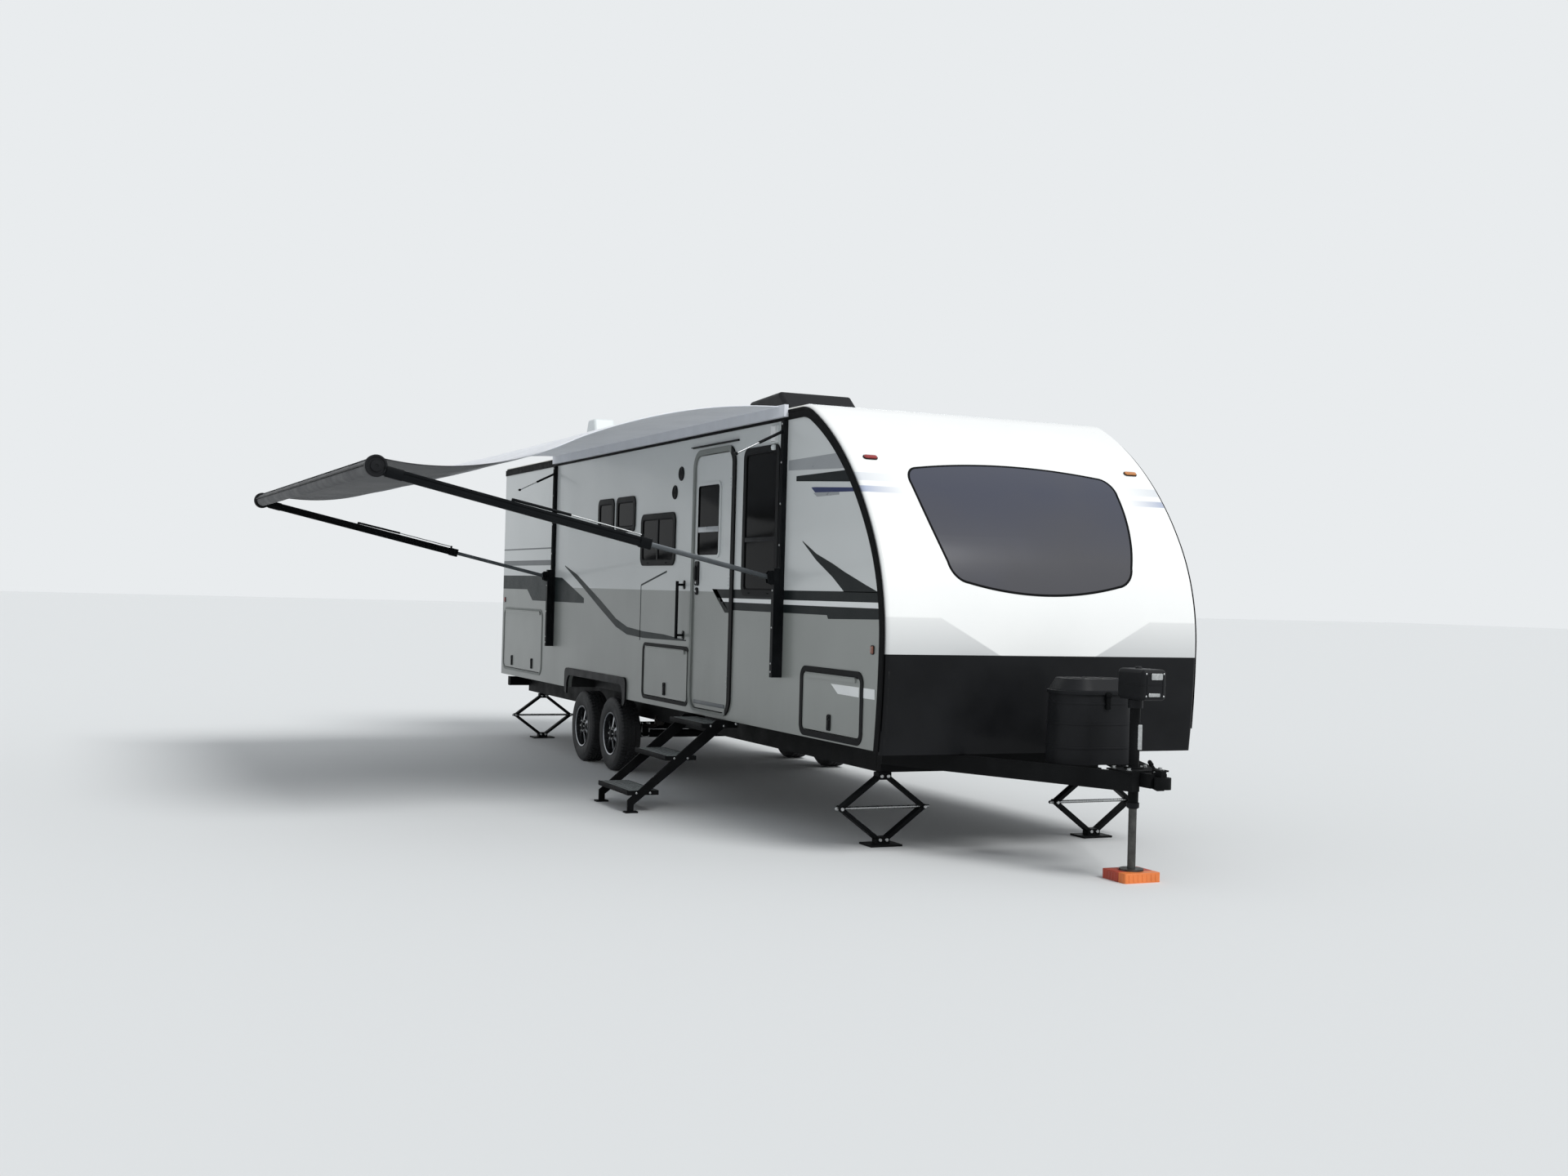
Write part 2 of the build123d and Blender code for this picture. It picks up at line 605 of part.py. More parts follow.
# Lamps: tail lamps, clearance lamps on the cap, side markers and the porch lamp
lamps = [end_panel(s * 1010 - 70, s * 1010 + 70, 900, 1060, rear_x - 25, rear_x, 30) for s in (-1, 1)]
cap_row = nose_nodes()[1]
lamp_angle = 42.5
lamp_x, lamp_z = nose_point(cap_row, lamp_angle, shell)
lamp_out = (sin(radians(lamp_angle)), 0, cos(radians(lamp_angle)))
for y in (-1060, 1060):
    lean = Plane(origin=(lamp_x, y, lamp_z), x_dir=(0, 1, 0), z_dir=lamp_out)
    lens = extrude(lean * RectangleRounded(110, 44, 20), amount=18, both=True)
    lamps.append(lens - outer)
markers = ((-1, -1165, 1350), (1, -1165, 1350), (-1, -10310, 1545), (1, -10310, 1545))
for side, x, z in markers:
    y0, y1 = side_y(side, half_width, half_width + 14)
    lamps.append(side_panel(x - 24, x + 24, z - 30, z + 30, y0, y1, 10))
lamps.append(side_panel(-2840, -2740, 2806, 2940, -half_width - 38, -half_width, 20))
save("lamps", *lamps)

# Dark mouldings on the roof and nose edges of the side walls
moulding_width, moulding_proud = 60, 9
edge_strip = envelope(0, half_width + moulding_proud, 500) - envelope(-moulding_width, far, 100)
edge_strip -= box(rear_x - 100, 100, -half_width, half_width, 0, 4000)
edge_strip -= box(rear_x - 100, 100, -far - 50, far + 50, 400, wall_bottom)
rear_end = rear_x + moulding_width + 1
edge_strip -= box(rear_x - 100, rear_end, -far - 50, far + 50, 400, wall_top - moulding_width)
save("edge_mouldings", edge_strip)

# Grab handle beside the door
handle_x, handle_y = -4600, -1285
handle = rod((handle_x, handle_y, 1300), (handle_x, handle_y, 1780), 13)
for z in (1330, 1750):
    handle += rod((handle_x, -half_width, z), (handle_x, handle_y + 4, z), 10)
save("grab_handle", handle)
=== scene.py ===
import bmesh
import bpy
import numpy as np
from math import cos, pi, radians, sin, sqrt
from mathutils import Matrix, Vector


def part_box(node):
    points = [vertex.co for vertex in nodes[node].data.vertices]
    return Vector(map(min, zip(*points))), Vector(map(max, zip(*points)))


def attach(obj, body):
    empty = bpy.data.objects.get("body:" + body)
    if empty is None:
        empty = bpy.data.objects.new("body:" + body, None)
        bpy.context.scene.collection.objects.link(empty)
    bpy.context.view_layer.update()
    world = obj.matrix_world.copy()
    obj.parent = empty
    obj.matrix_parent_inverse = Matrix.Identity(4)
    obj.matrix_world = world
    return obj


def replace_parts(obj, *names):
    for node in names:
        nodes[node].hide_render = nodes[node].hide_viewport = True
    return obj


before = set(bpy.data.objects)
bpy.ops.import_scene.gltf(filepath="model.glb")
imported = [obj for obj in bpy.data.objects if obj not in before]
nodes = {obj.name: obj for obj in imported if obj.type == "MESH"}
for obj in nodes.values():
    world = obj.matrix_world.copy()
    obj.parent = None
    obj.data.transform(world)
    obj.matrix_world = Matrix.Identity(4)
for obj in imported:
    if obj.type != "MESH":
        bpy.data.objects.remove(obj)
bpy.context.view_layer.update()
print("frame loaded:", len(nodes), "nodes")

# Main sizes of the body in metres: x forward, y left, z up, ground at 0
wallLow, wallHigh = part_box("side_wall_left")
halfWidth, wallTop, wallFoot = wallHigh.y, wallHigh.z, wallLow.z
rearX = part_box("rear_wall")[0].x
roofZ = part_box("roof_panel")[1].z
xAxis, yAxis, zAxis = np.eye(3)


# Meshes: each function returns points and faces

def stackRings(rings, loop=False):
    # Rings of equal length joined one to the next by quads; the ends are capped, or looped back to the start
    rings = np.asarray(rings, float)
    count, around = rings.shape[:2]
    row = np.arange(count if loop else count - 1)[:, None]
    column = np.arange(around)[None]
    beside, above = (column + 1) % around, (row + 1) % count * around
    row = row * around
    quads = np.stack([row + column, row + beside, above + beside, above + column], -1)
    faces = quads.reshape(-1, 4).tolist()
    if not loop:
        faces += [list(range(around - 1, -1, -1)), list(range((count - 1) * around, count * around))]
    return rings.reshape(-1, 3), faces


def joined(parts):
    # Several meshes as one
    points, faces, start = [], [], 0
    for part, partFaces in parts:
        points.append(np.asarray(part, float))
        faces += [[i + start for i in face] for face in partFaces]
        start += len(part)
    return np.concatenate(points), faces


def copies(part, offsets):
    # The same mesh again at each offset
    return joined([(part[0] + offset, part[1]) for offset in np.asarray(offsets, float)])


def circle(radius, count):
    # Radius times the cosine and sine of evenly spaced angles
    angle = np.linspace(0, 2 * pi, count, endpoint=False)
    return radius * np.stack([np.cos(angle), np.sin(angle)], -1)


def roundedRect(width, height, radius, perCorner=6):
    # Four quarter circles set in from the corners of a rectangle about the origin
    radius = max(min(radius, width / 2 - 1e-5, height / 2 - 1e-5), 1e-4)
    turns = (np.linspace(0, pi / 2, perCorner) + np.arange(4)[:, None] * pi / 2).ravel()
    x = np.repeat([1, -1, -1, 1], perCorner) * (width / 2 - radius) + radius * np.cos(turns)
    y = np.repeat([1, 1, -1, -1], perCorner) * (height / 2 - radius) + radius * np.sin(turns)
    return np.stack([x, y], -1)


def sweep(path, section, up, loop=False):
    # A closed section of (side, normal) points carried along a path, its side kept square to up
    path, section = np.asarray(path, float), np.asarray(section, float)
    tangent = np.roll(path, -1, 0) - np.roll(path, 1, 0) if loop else np.gradient(path, axis=0)
    tangent /= np.linalg.norm(tangent, axis=1, keepdims=True)
    side = np.cross(tangent, np.broadcast_to(up, path.shape))
    side /= np.linalg.norm(side, axis=1, keepdims=True)
    normal = np.cross(side, tangent)
    rings = path[:, None] + section[None, :, :1] * side[:, None] + section[None, :, 1:] * normal[:, None]
    return stackRings(rings, loop)


def halved(start, end):
    # A path of three points: both ends and their middle
    return [start, np.add(start, end) / 2, end]


def bar(start, end, width, depth, up, edge=0.004):
    # Flat bar: a rounded rectangle carried from start to end
    return sweep(halved(start, end), roundedRect(width, depth, edge, 3), up)


def tube(path, radius, up, count=16):
    # Round bar: a circle carried along a path
    return sweep(path, circle(radius, count), up)


def bent(corners, radius, steps=6):
    # A path with each inner corner rounded by a quadratic curve that starts radius before it
    corners = [np.asarray(c, float) for c in corners]
    share = np.linspace(0, 1, steps)[:, None]
    points = [corners[0]]
    for before, corner, after in zip(corners, corners[1:], corners[2:]):
        a, b = (corner + (end - corner) / np.linalg.norm(end - corner) * radius for end in (before, after))
        points.extend((1 - share) ** 2 * a + 2 * share * (1 - share) * corner + share ** 2 * b)
    return np.array(points + [corners[-1]])


def seat(origin, u, v, n):
    # Puts flat (u, v) points at a depth along n, from an origin
    origin, u, v, n = (np.asarray(a, float) for a in (origin, u, v, n))
    return lambda flat, depth: origin + flat[:, :1] * u + flat[:, 1:] * v + depth * n


def facing(origin, side, axis="y"):
    # Seat that looks along y or x, outwards to a side
    u, n = (xAxis, yAxis) if axis == "y" else (yAxis, xAxis)
    return seat(origin, u, zAxis, side * n)


def sideSeat(side, x, z, out=0.0):
    # Seat on a side wall's outer face
    return facing((x, side * (halfWidth + out), z), side)


def rearSeat(y, z, out=0.0):
    # Seat on the rear wall's outer face
    return facing((rearX - out, y, z), -1, "x")


def topSeat(x, y, z):
    # Seat on a level face, depth upwards
    return seat((x, y, z), xAxis, yAxis, zAxis)


def shifted(place, u, v):
    # A seat moved within its plane
    return lambda flat, depth: place(flat + (u, v), depth)


def pillow(place, width, height, radius, steps, perCorner=6):
    # A slab with a rounded rectangle outline, set in and raised ring by ring: each step is (inset, depth)
    return stackRings([place(roundedRect(width - 2 * s, height - 2 * s, radius - s, perCorner), d)
                       for s, d in steps])


def softSlab(place, width, height, radius, thick, edge=0.004, base=0.0, perCorner=6):
    # A pillow whose outer edge is a quarter round
    turn = np.linspace(0, pi / 2, 4)
    steps = [(0, base)] + [(edge * (1 - cos(t)), thick - edge + edge * sin(t)) for t in turn]
    return pillow(place, width, height, radius, steps, perCorner)


def ringFrame(place, width, height, radius, section, perCorner=8):
    # A closed section of (distance outwards, depth) points carried round a rounded rectangle
    return stackRings([place(roundedRect(width + 2 * o, height + 2 * o, radius + o, perCorner), d)
                       for o, d in section], True)


def lip(width, high, edge=0.003):
    # Section of a trim: flat foot, chamfered shoulders
    return (0, 0), (0, high - edge), (edge, high), (width - edge, high), (width, high - edge), (width, 0)


def lathe(profile, centre, axis, count, loop=False, across=None):
    # A profile of (radius, distance along the axis) turned about it
    if across is None:
        across = yAxis if abs(axis[0]) > 0.9 else xAxis
    angle = np.linspace(0, 2 * pi, count, endpoint=False)[:, None]
    spokes = np.cos(angle) * across + np.sin(angle) * np.cross(axis, across)
    return stackRings([centre + r * spokes + t * np.asarray(axis) for r, t in profile], loop)


def pin(centre, axis, radius, half, count, core=0.002):
    # A round or six-sided pin through a centre
    return lathe(((core, -half), (radius, -half), (radius, half), (core, half)), centre, axis, count)


def domes(places, radius, high, axis, count=10):
    # Low domed heads: a quarter ellipse turned about the axis at each place
    turn = np.linspace(0, pi / 2, 4)
    profile = [(radius, 0)] + [(radius * cos(t) + 1e-4, high * (0.4 + 0.6 * sin(t))) for t in turn]
    return copies(lathe(profile, (0, 0, 0), axis, count, across=xAxis if axis[2] else zAxis), places)


def plateOf(outline, place, thick, base=0.0):
    # A flat plate from an outline of (u, v) points
    outline = np.asarray(outline, float)
    return stackRings([place(outline, base), place(outline, base + thick)])


def makePiece(name, part, material, body="root", smooth=35):
    # A mesh object from a mesh or a list of them, shaded smooth below an angle in degrees, riding on a body
    points, faces = joined(part) if isinstance(part, list) else part
    mesh = bpy.data.meshes.new(name)
    mesh.from_pydata(np.asarray(points, float).tolist(), [], faces)
    mesh.update()
    work = bmesh.new()
    work.from_mesh(mesh)
    bmesh.ops.recalc_face_normals(work, faces=work.faces)
    work.to_mesh(mesh)
    work.free()
    if smooth:
        mesh.shade_smooth()
        mesh.set_sharp_from_angle(angle=radians(smooth))
    piece = bpy.data.objects.new(name, mesh)
    bpy.context.scene.collection.objects.link(piece)
    mesh.materials.append(finish[material])
    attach(piece, body)
    return piece


# Materials: a socket knows its tree, so each function adds its node beside the socket it is given

finish = {}


def toLinear(hexColour):
    # sRGB hex to linear red, green, blue, alpha
    parts = [int(hexColour[i:i + 2], 16) / 255 for i in (1, 3, 5)]
    return (*[c / 12.92 if c <= 0.04045 else ((c + 0.055) / 1.055) ** 2.4 for c in parts], 1.0)


def feed(node, links):
    # Gives a node's inputs numbers, hex colours or other nodes' outputs
    for key, value in links.items():
        if isinstance(value, bpy.types.NodeSocket):
            node.id_data.links.new(value, node.inputs[key])
        else:
            node.inputs[key].default_value = toLinear(value) if isinstance(value, str) else value
    return node


def addNode(tree, kind, links=None, **settings):
    # Adds one node; settings name its properties
    node = tree.nodes.new("ShaderNode" + kind)
    for key, value in settings.items():
        setattr(node, key, value)
    return feed(node, links or {})


def newMaterial(name):
    # A principled surface and the object coordinates for its patterns
    finish[name] = bpy.data.materials.new(name)
    finish[name].use_nodes = True
    tree = finish[name].node_tree
    return tree.nodes["Principled BSDF"], addNode(tree, "TexCoord").outputs["Object"]


def blended(share, a, b, kind="MIX"):
    # Colour a towards colour b by a share
    return addNode(share.id_data, "Mix", {0: share, 6: a, 7: b}, data_type="RGBA", blend_type=kind).outputs[2]


def between(value, low, high, toLow=0.0, toHigh=1.0):
    # A value carried from one range to another, held at its ends
    return addNode(value.id_data, "MapRange", {0: value, 1: low, 2: high, 3: toLow, 4: toHigh}).outputs[0]


def worked(kind, *values):
    # One step of arithmetic
    return addNode(values[0].id_data, "Math", dict(enumerate(values)), operation=kind).outputs[0]


def noise(place, scale, detail, stretch=None):
    # Noise of a scale per metre, over coordinates that may be stretched first
    if stretch:
        place = addNode(place.id_data, "Mapping", {"Vector": place, "Scale": stretch}).outputs[0]
    return addNode(place.id_data, "TexNoise", {"Vector": place, "Scale": scale, "Detail": detail}).outputs[0]


def relief(height, strength, distance):
    # A bump from a height
    return addNode(height.id_data, "Bump",
                   {"Height": height, "Strength": strength, "Distance": distance}).outputs[0]


def finishOf(name, colour, cloudMm, grainMm, vary, rough, gloss, bump=0.0, metal=0.0, coat=0.0, shine=0.5):
    # A surface of one colour, cloudy by vary, with roughness that strays by gloss and a fine grain
    surface, place = newMaterial(name)
    cloud, grain = noise(place, 1000 / cloudMm, 4.0), noise(place, 1000 / grainMm, 3.0)
    tone = toLinear(colour)[:3]
    dark = (*[c * (1 - vary) for c in tone], 1)
    pale = (*[min(1, c * (1 + vary) + vary * 0.01) for c in tone], 1)
    mixed = worked("ADD", worked("MULTIPLY", cloud, 0.6), worked("MULTIPLY", grain, 0.4))
    feed(surface, {"Base Color": blended(between(cloud, 0.35, 0.65), dark, pale), "Metallic": metal,
                   "Coat Weight": coat,
                   "Roughness": between(mixed, 0.35, 0.65, max(rough - gloss, 0.02), rough + gloss),
                   "Coat Roughness": 0.1, "Specular IOR Level": shine})
    if bump:
        feed(surface, {"Normal": relief(grain, bump, grainMm * 0.0003)})


# Columns: name, colour, cloud and grain in mm, colour spread, roughness and its spread, bump
# EPDM roof membrane: matt, chalky, slightly stained
finishOf("roofMembrane", "#DDDDD8", 350, 14, 0.06, 0.72, 0.08, 0.15)
# Powder-coated aluminium: satin black with orange-peel grain
finishOf("powderCoatBlack", "#101214", 120, 4, 0.10, 0.42, 0.08, 0.12, shine=0.06)
# Satin anodised aluminium, natural and dark: soft metal sheen
finishOf("anodisedAluminium", "#A9ADB0", 90, 3, 0.05, 0.34, 0.08, 0.05, metal=1.0)
finishOf("anodisedGrey", "#5B5F62", 90, 3, 0.08, 0.42, 0.08, 0.06, metal=0.9)
# Chassis enamel on steel: black, semi-matt, with road dust; grey where shoes have worn it on the treads
finishOf("chassisEnamel", "#0E0F10", 180, 9, 0.22, 0.58, 0.12, 0.15, shine=0.08)
finishOf("wornTreadEnamel", "#676C6C", 70, 5, 0.20, 0.50, 0.10, 0.20)
# EPDM rubber seal and trim: dull black
finishOf("rubberTrim", "#0C0D0E", 60, 3, 0.12, 0.60, 0.10, 0.10, shine=0.05)
# Tyre rubber: black with dust, dull
finishOf("tyreRubber", "#1B1C1E", 70, 3, 0.18, 0.68, 0.10, 0.20)
# ABS mouldings: even fine texture, low sheen; the white ones slightly yellowed
finishOf("mouldedBlack", "#1A1B1D", 140, 2.5, 0.08, 0.50, 0.08, 0.15, shine=0.12)
finishOf("mouldedWhite", "#DAE0E0", 160, 3, 0.03, 0.42, 0.08, 0.08)
# Zinc-plated steel: bright with cloudy spangle; the ram's tube is under old grease
finishOf("zincSteel", "#B4B6B6", 18, 3, 0.10, 0.32, 0.14, 0.08, metal=1.0)
finishOf("greasedSteel", "#4C4C4A", 40, 5, 0.25, 0.45, 0.12, 0.10, metal=0.8)
# Cast aluminium, blasted: greyish, fine pits; then in black lacquer, and diamond-turned under clear lacquer
finishOf("castAluminium", "#6C7073", 50, 2.5, 0.10, 0.50, 0.10, 0.25, metal=0.85)
finishOf("lacqueredAlloy", "#1A1B1D", 60, 3, 0.12, 0.32, 0.08, 0.06, coat=0.4)
finishOf("machinedAlloy", "#9DA0A4", 30, 1.5, 0.06, 0.28, 0.08, 0.06, metal=1.0)
# Injection-moulded polypropylene blocks: orange, and a red that is the orange in painted shade
finishOf("orangePolypropylene", "#DC7A3C", 80, 3, 0.08, 0.50, 0.08, 0.12)
# painted shade: this red stands in for the orange block's shaded side
finishOf("paintedShadePolypropylene", "#A8402C", 80, 3, 0.08, 0.50, 0.08, 0.12)
# Spring steel, oiled and rusty
finishOf("springSteel", "#241F1C", 30, 5, 0.30, 0.62, 0.12, 0.25, metal=0.4)
# Corrugated plastic underbelly: dull black sheet
finishOf("bellySheet", "#1B1C1D", 300, 12, 0.15, 0.66, 0.10, 0.10)
# Self-levelling lap sealant: chalky, slightly dirty
finishOf("lapSealant", "#B9BAB4", 60, 6, 0.08, 0.70, 0.08, 0.20)
# Charcoal gel coat of the mask, with road dust
finishOf("charcoalGelCoat", "#111214", 500, 12, 0.18, 0.40, 0.10, 0.04, coat=0.04, shine=0.12)
# Tinted safety glass, seen from outside against a dark cabin
finishOf("tintedGlass", "#050607", 600, 60, 0.10, 0.09, 0.03, shine=0.03)
# Coated awning vinyl as it lies wound on the roll
finishOf("awningRollVinyl", "#1D1F23", 200, 6, 0.15, 0.55, 0.10, 0.12)
# Cast calendered vinyl film in the stripe colours, flat and satin: colour, its spread, roughness and shine.
# Grey also colours a painted shadow strip under the blue stripe
for label, colour, vary, rough, shine in (
        ("Black", "#1C2122", 0.04, 0.38, 0.06), ("Slate", "#2C3233", 0.04, 0.38, 0.06),
        ("Blue", "#1B2858", 0.04, 0.38, 0.25), ("Mid", "#74787A", 0.03, 0.36, 0.1),
        ("Grey", "#969A9D", 0.03, 0.32, 0.5), ("Pale", "#E4E7E7", 0.02, 0.32, 0.5)):
    finishOf("vinyl" + label, colour, 200, 20, vary, rough, 0.06, shine=shine)
# Injection-moulded acrylic lenses: colour, its spread and roughness
for label, colour, vary, rough in (("Red", "#8E1210", 0.10, 0.14), ("Amber", "#C07A3A", 0.10, 0.14),
                                   ("DeepAmber", "#7A3A14", 0.10, 0.14), ("Clear", "#E6E8E8", 0.04, 0.16)):
    finishOf("lens" + label, colour, 20, 2, vary, rough, 0.04, coat=0.6)


def clouded(name, scale, detail):
    # A new material's surface, coordinates, their x, y and z, and one cloud of noise
    surface, place = newMaterial(name)
    parts = addNode(place.id_data, "SeparateXYZ", {0: place}).outputs[:3]
    return surface, place, parts, noise(place, scale, detail)


def uneven(cloud, low, high):
    # A roughness between two values, by the cloud
    return between(cloud, 0.3, 0.7, low, high)


# Laminated wall: pale above the belt line and mid grey below, with dust streaks at the foot and a wavy gloss
wallLook = dict(upper="#CCD0D0", lower="#888C89", stain="#A4A8A4", dust="#6E6A60", belt=1.70, edge=0.003,
                dustTo=1.15, dustShare=0.10, rough=(0.31, 0.39), waves=1 / 0.9, coat=0.12)


def laminatedPanel():
    look, (surface, place, (_, _, z), cloud) = wallLook, clouded("laminatedPanel", 1.6, 5.0)
    streak = between(noise(place, 2.2, 4.0, (6.0, 6.0, 0.7)), 0.35, 0.65)
    belt = between(z, look["belt"] - look["edge"], look["belt"] + look["edge"])
    base = blended(belt, look["lower"], look["upper"])
    patchy = blended(between(cloud, 0.3, 0.7, 0.0, 0.12), base, look["stain"], "SOFT_LIGHT")
    dust = worked("MULTIPLY", between(z, wallFoot, look["dustTo"], look["dustShare"], 0.0), streak)
    feed(surface, {"Base Color": blended(dust, patchy, look["dust"]),
                   "Roughness": uneven(cloud, *look["rough"]),
                   "Normal": relief(noise(place, look["waves"], 1.0), 0.08, 0.02), "Coat Weight": look["coat"]})


# Gel-coated front cap: gloss white, pale grey fades at its lower corners, and two faint bands from each side,
# each band a lower and upper edge, a colour and its share
capLook = dict(white="#F2F3F1", dull="#E7E9E8", fade="#C4C6C6", fadeLow=1.365, fadeIn=0.430, fadeSlope=0.538,
               fadeTop=1.575, fadeEdge=0.012, fadeTone=(1.33, 1.56, 0.95, 0.45), bandIn=0.90, bandEdge=0.006,
               bands=((2.383, 2.432, "#8492B4", 0.75), (2.462, 2.525, "#AEB7C4", 0.45)))


def gelCoat():
    look, (surface, place, (_, y, z), cloud) = capLook, clouded("gelCoat", 1.2, 4.0)
    reach = worked("ABSOLUTE", y)
    tone = blended(between(cloud, 0.3, 0.7, 0.0, 0.5), look["white"], look["dull"])
    slope = worked("MULTIPLY_ADD", worked("SUBTRACT", reach, look["fadeIn"]), look["fadeSlope"],
                   look["fadeLow"])
    under = between(worked("SUBTRACT", worked("MINIMUM", slope, look["fadeTop"]), z), 0.0, look["fadeEdge"])
    tone = blended(worked("MULTIPLY", under, between(z, *look["fadeTone"])), tone, look["fade"])
    across, edge = between(reach, look["bandIn"], halfWidth - 0.02), look["bandEdge"]
    for low, high, colour, share in look["bands"]:
        inside = worked("MULTIPLY", between(z, low, low + edge), between(z, high, high - edge))
        tone = blended(worked("MULTIPLY", worked("MULTIPLY", inside, across), share), tone, colour)
    feed(surface, {"Base Color": tone, "Roughness": uneven(cloud, 0.16, 0.26), "Coat Weight": 0.5,
                   "Normal": relief(noise(place, 2.0, 1.0), 0.06, 0.02)})


# Smoked front window: a grey film on the glass, bluish towards its top
glassLook = dict(low="#4A4A4E", high="#3E414E", tilt=(1.95, 2.45), rough=(0.11, 0.19), shine=0.35)


def smokedGlass():
    look, (surface, _, (_, _, z), cloud) = glassLook, clouded("smokedGlass", 1.4, 3.0)
    rise = worked("ADD", between(z, *look["tilt"]), between(cloud, 0.3, 0.7, -0.2, 0.2))
    feed(surface, {"Base Color": blended(rise, look["low"], look["high"]),
                   "Roughness": uneven(cloud, *look["rough"]), "Specular IOR Level": look["shine"]})


# Satin lacquers in two tones. Frames are black, but grey like the wall on the door frame apart from its
# hinge side and on the rear hatch frame. Awning rails are black, but the track along the wall's top is pale.
lacquerLook = dict(wear="#55585A", shine=0.06, frame=("#0D0E0F", "#8A8E8B"), door=(-4.460, -3.625),
                   hatch=(-10.45, -8.70), hatchTop=1.52, rail=("#101214", "#DFE2E8"), trackZ=2.972)


def lacquer(surface, cloud, tone, wear, rough):
    # A tone with a little wear, its gloss uneven
    feed(surface, {"Base Color": blended(between(cloud, 0.35, 0.65, 0.0, wear), tone, lacquerLook["wear"]),
                   "Roughness": uneven(cloud, *rough), "Specular IOR Level": lacquerLook["shine"]})


def frameLacquer():
    look, (surface, _, (x, y, z), cloud) = lacquerLook, clouded("frameLacquer", 5.0, 4.0)
    door, hatch = (worked("MULTIPLY", worked("GREATER_THAN", x, low), worked("LESS_THAN", x, high))
                   for low, high in (look["door"], look["hatch"]))
    both = worked("ADD", door, worked("MULTIPLY", hatch, worked("LESS_THAN", z, look["hatchTop"])))
    grey = worked("MULTIPLY", both, worked("LESS_THAN", y, 0.0))
    lacquer(surface, cloud, blended(grey, *look["frame"]), 0.10, (0.44, 0.56))


def railLacquer():
    surface, _, (_, _, z), cloud = clouded("railLacquer", 6.0, 4.0)
    upper = worked("GREATER_THAN", z, lacquerLook["trackZ"])
    lacquer(surface, cloud, blended(upper, *lacquerLook["rail"]), 0.06, (0.38, 0.50))


# Coated woven vinyl with a fine weave and soft creases. Its tone is painted light: pale grey by the wall, the
# cloth's own colour lifted where sunlight shines through, fading to charcoal further out, which is painted
# shade
clothLookWithPaintedLight = dict(pale="#DFE2E8", dark="#17181A", stain="#7E8288", fade=(-2.90, -3.40), weave=90.0,
                 rough=(0.50, 0.66))


def coatedAwningVinyl():
    look, (surface, place, (_, y, _), cloud) = clothLookWithPaintedLight, clouded("coatedAwningVinyl", 2.2, 5.0)
    weave, weft = (addNode(place.id_data, "TexWave",
                           {"Vector": place, "Scale": look["weave"], "Distortion": 0.4},
                           bands_direction=axis).outputs[1] for axis in "XY")
    threads = worked("MULTIPLY", worked("MULTIPLY", weave, weft), 0.15)
    # painted light: pale by the wall for sunlight through the cloth, fading to painted shade further out
    tone = blended(between(y, *look["fade"]), look["pale"], look["dark"])
    fold = noise(place, 4.0, 2.0, (0.5, 3.0, 3.0))
    feed(surface, {"Base Color": blended(between(cloud, 0.3, 0.7, 0.0, 0.14), tone, look["stain"]),
                   "Roughness": uneven(cloud, *look["rough"]),
                   "Normal": relief(worked("ADD", threads, fold), 0.25, 0.01),
                   "Sheen Weight": 0.08, "Subsurface Weight": 0.7, "Subsurface Radius": (1, 1, 1),
                   "Subsurface Scale": 0.01})


for build in (laminatedPanel, gelCoat, smokedGlass, frameLacquer, railLacquer, coatedAwningVinyl):
    build()
print("materials ready:", len(finish))

# Finishes of the frame's own nodes, by the start of their names; the longest start that fits counts
nodeFinishes = {
    "": "chassisEnamel", "side_wall": "laminatedPanel", "rear_wall": "laminatedPanel",
    "entry_door": "laminatedPanel", "hatch": "laminatedPanel", "roof_panel": "roofMembrane",
    "front_cap": "gelCoat", "front_mask": "charcoalGelCoat", "windshield": "smokedGlass",
    "window_panes": "tintedGlass", "entry_door_pane": "tintedGlass", "opening_frames": "frameLacquer",
    "edge_mouldings": "rubberTrim", "fender_skirts": "mouldedBlack", "floor_deck": "bellySheet",
    "wheel_boxes": "bellySheet", "awning_rails": "railLacquer", "awning_arms": "powderCoatBlack",
    "awning_roller": "powderCoatBlack", "awning_fabric": "vinylPale", "air_conditioner": "mouldedBlack",
    "roof_vents": "mouldedWhite", "lamps": "lensRed", "gas_bottle_cover": "mouldedBlack",
    "jack_head": "mouldedBlack", "jack_ram": "greasedSteel", "jack_pad": "orangePolypropylene",
    "leaf_springs": "springSteel", "grab_handle": "powderCoatBlack", "tyre": "rubberTrim",
    "rim": "castAluminium",
}
for name, node in nodes.items():
    start = max((s for s in nodeFinishes if name.startswith(s)), key=len)
    node.data.materials.clear()
    node.data.materials.append(finish[nodeFinishes[start]])

# Nose of the side walls from the roof down: arcs of start angle, end angle and radius; tip is the foremost x
noseArcs = ((0, 25.5, 0.430), (25.5, 59.5, 2.220), (59.5, 90, 1.385), (90, 97.3, 5.900))
noseTip = -1.005
shellOut = roofZ - wallTop


def noseLine(offset):
    # Rows of x, z, normal x, normal z: each arc's start plus radius times the change of sine and cosine
    x = noseTip - sum(r * (sin(radians(b)) - sin(radians(a))) for a, b, r in noseArcs if b <= 90)
    z, rows = wallTop, []
    for start, end, radius in noseArcs:
        turn = np.radians(np.linspace(start, end, int((end - start) / 2) + 2))
        s, c = np.sin(turn), np.cos(turn)
        rows.append(np.stack([x + radius * (s - s[0]) + offset * s, z - radius * (c[0] - c) + offset * c, s,
                              c], -1))
        x += radius * (s[-1] - s[0])
        z -= radius * (c[0] - c[-1])
    return np.concatenate(rows)


def noseAt(z, offset):
    # Where the nose line, moved out by offset, stands at heights: x, normal x and normal z
    line = noseLine(offset)[::-1]
    return [np.interp(z, line[:, 1], line[:, k]) for k in (0, 2, 3)]
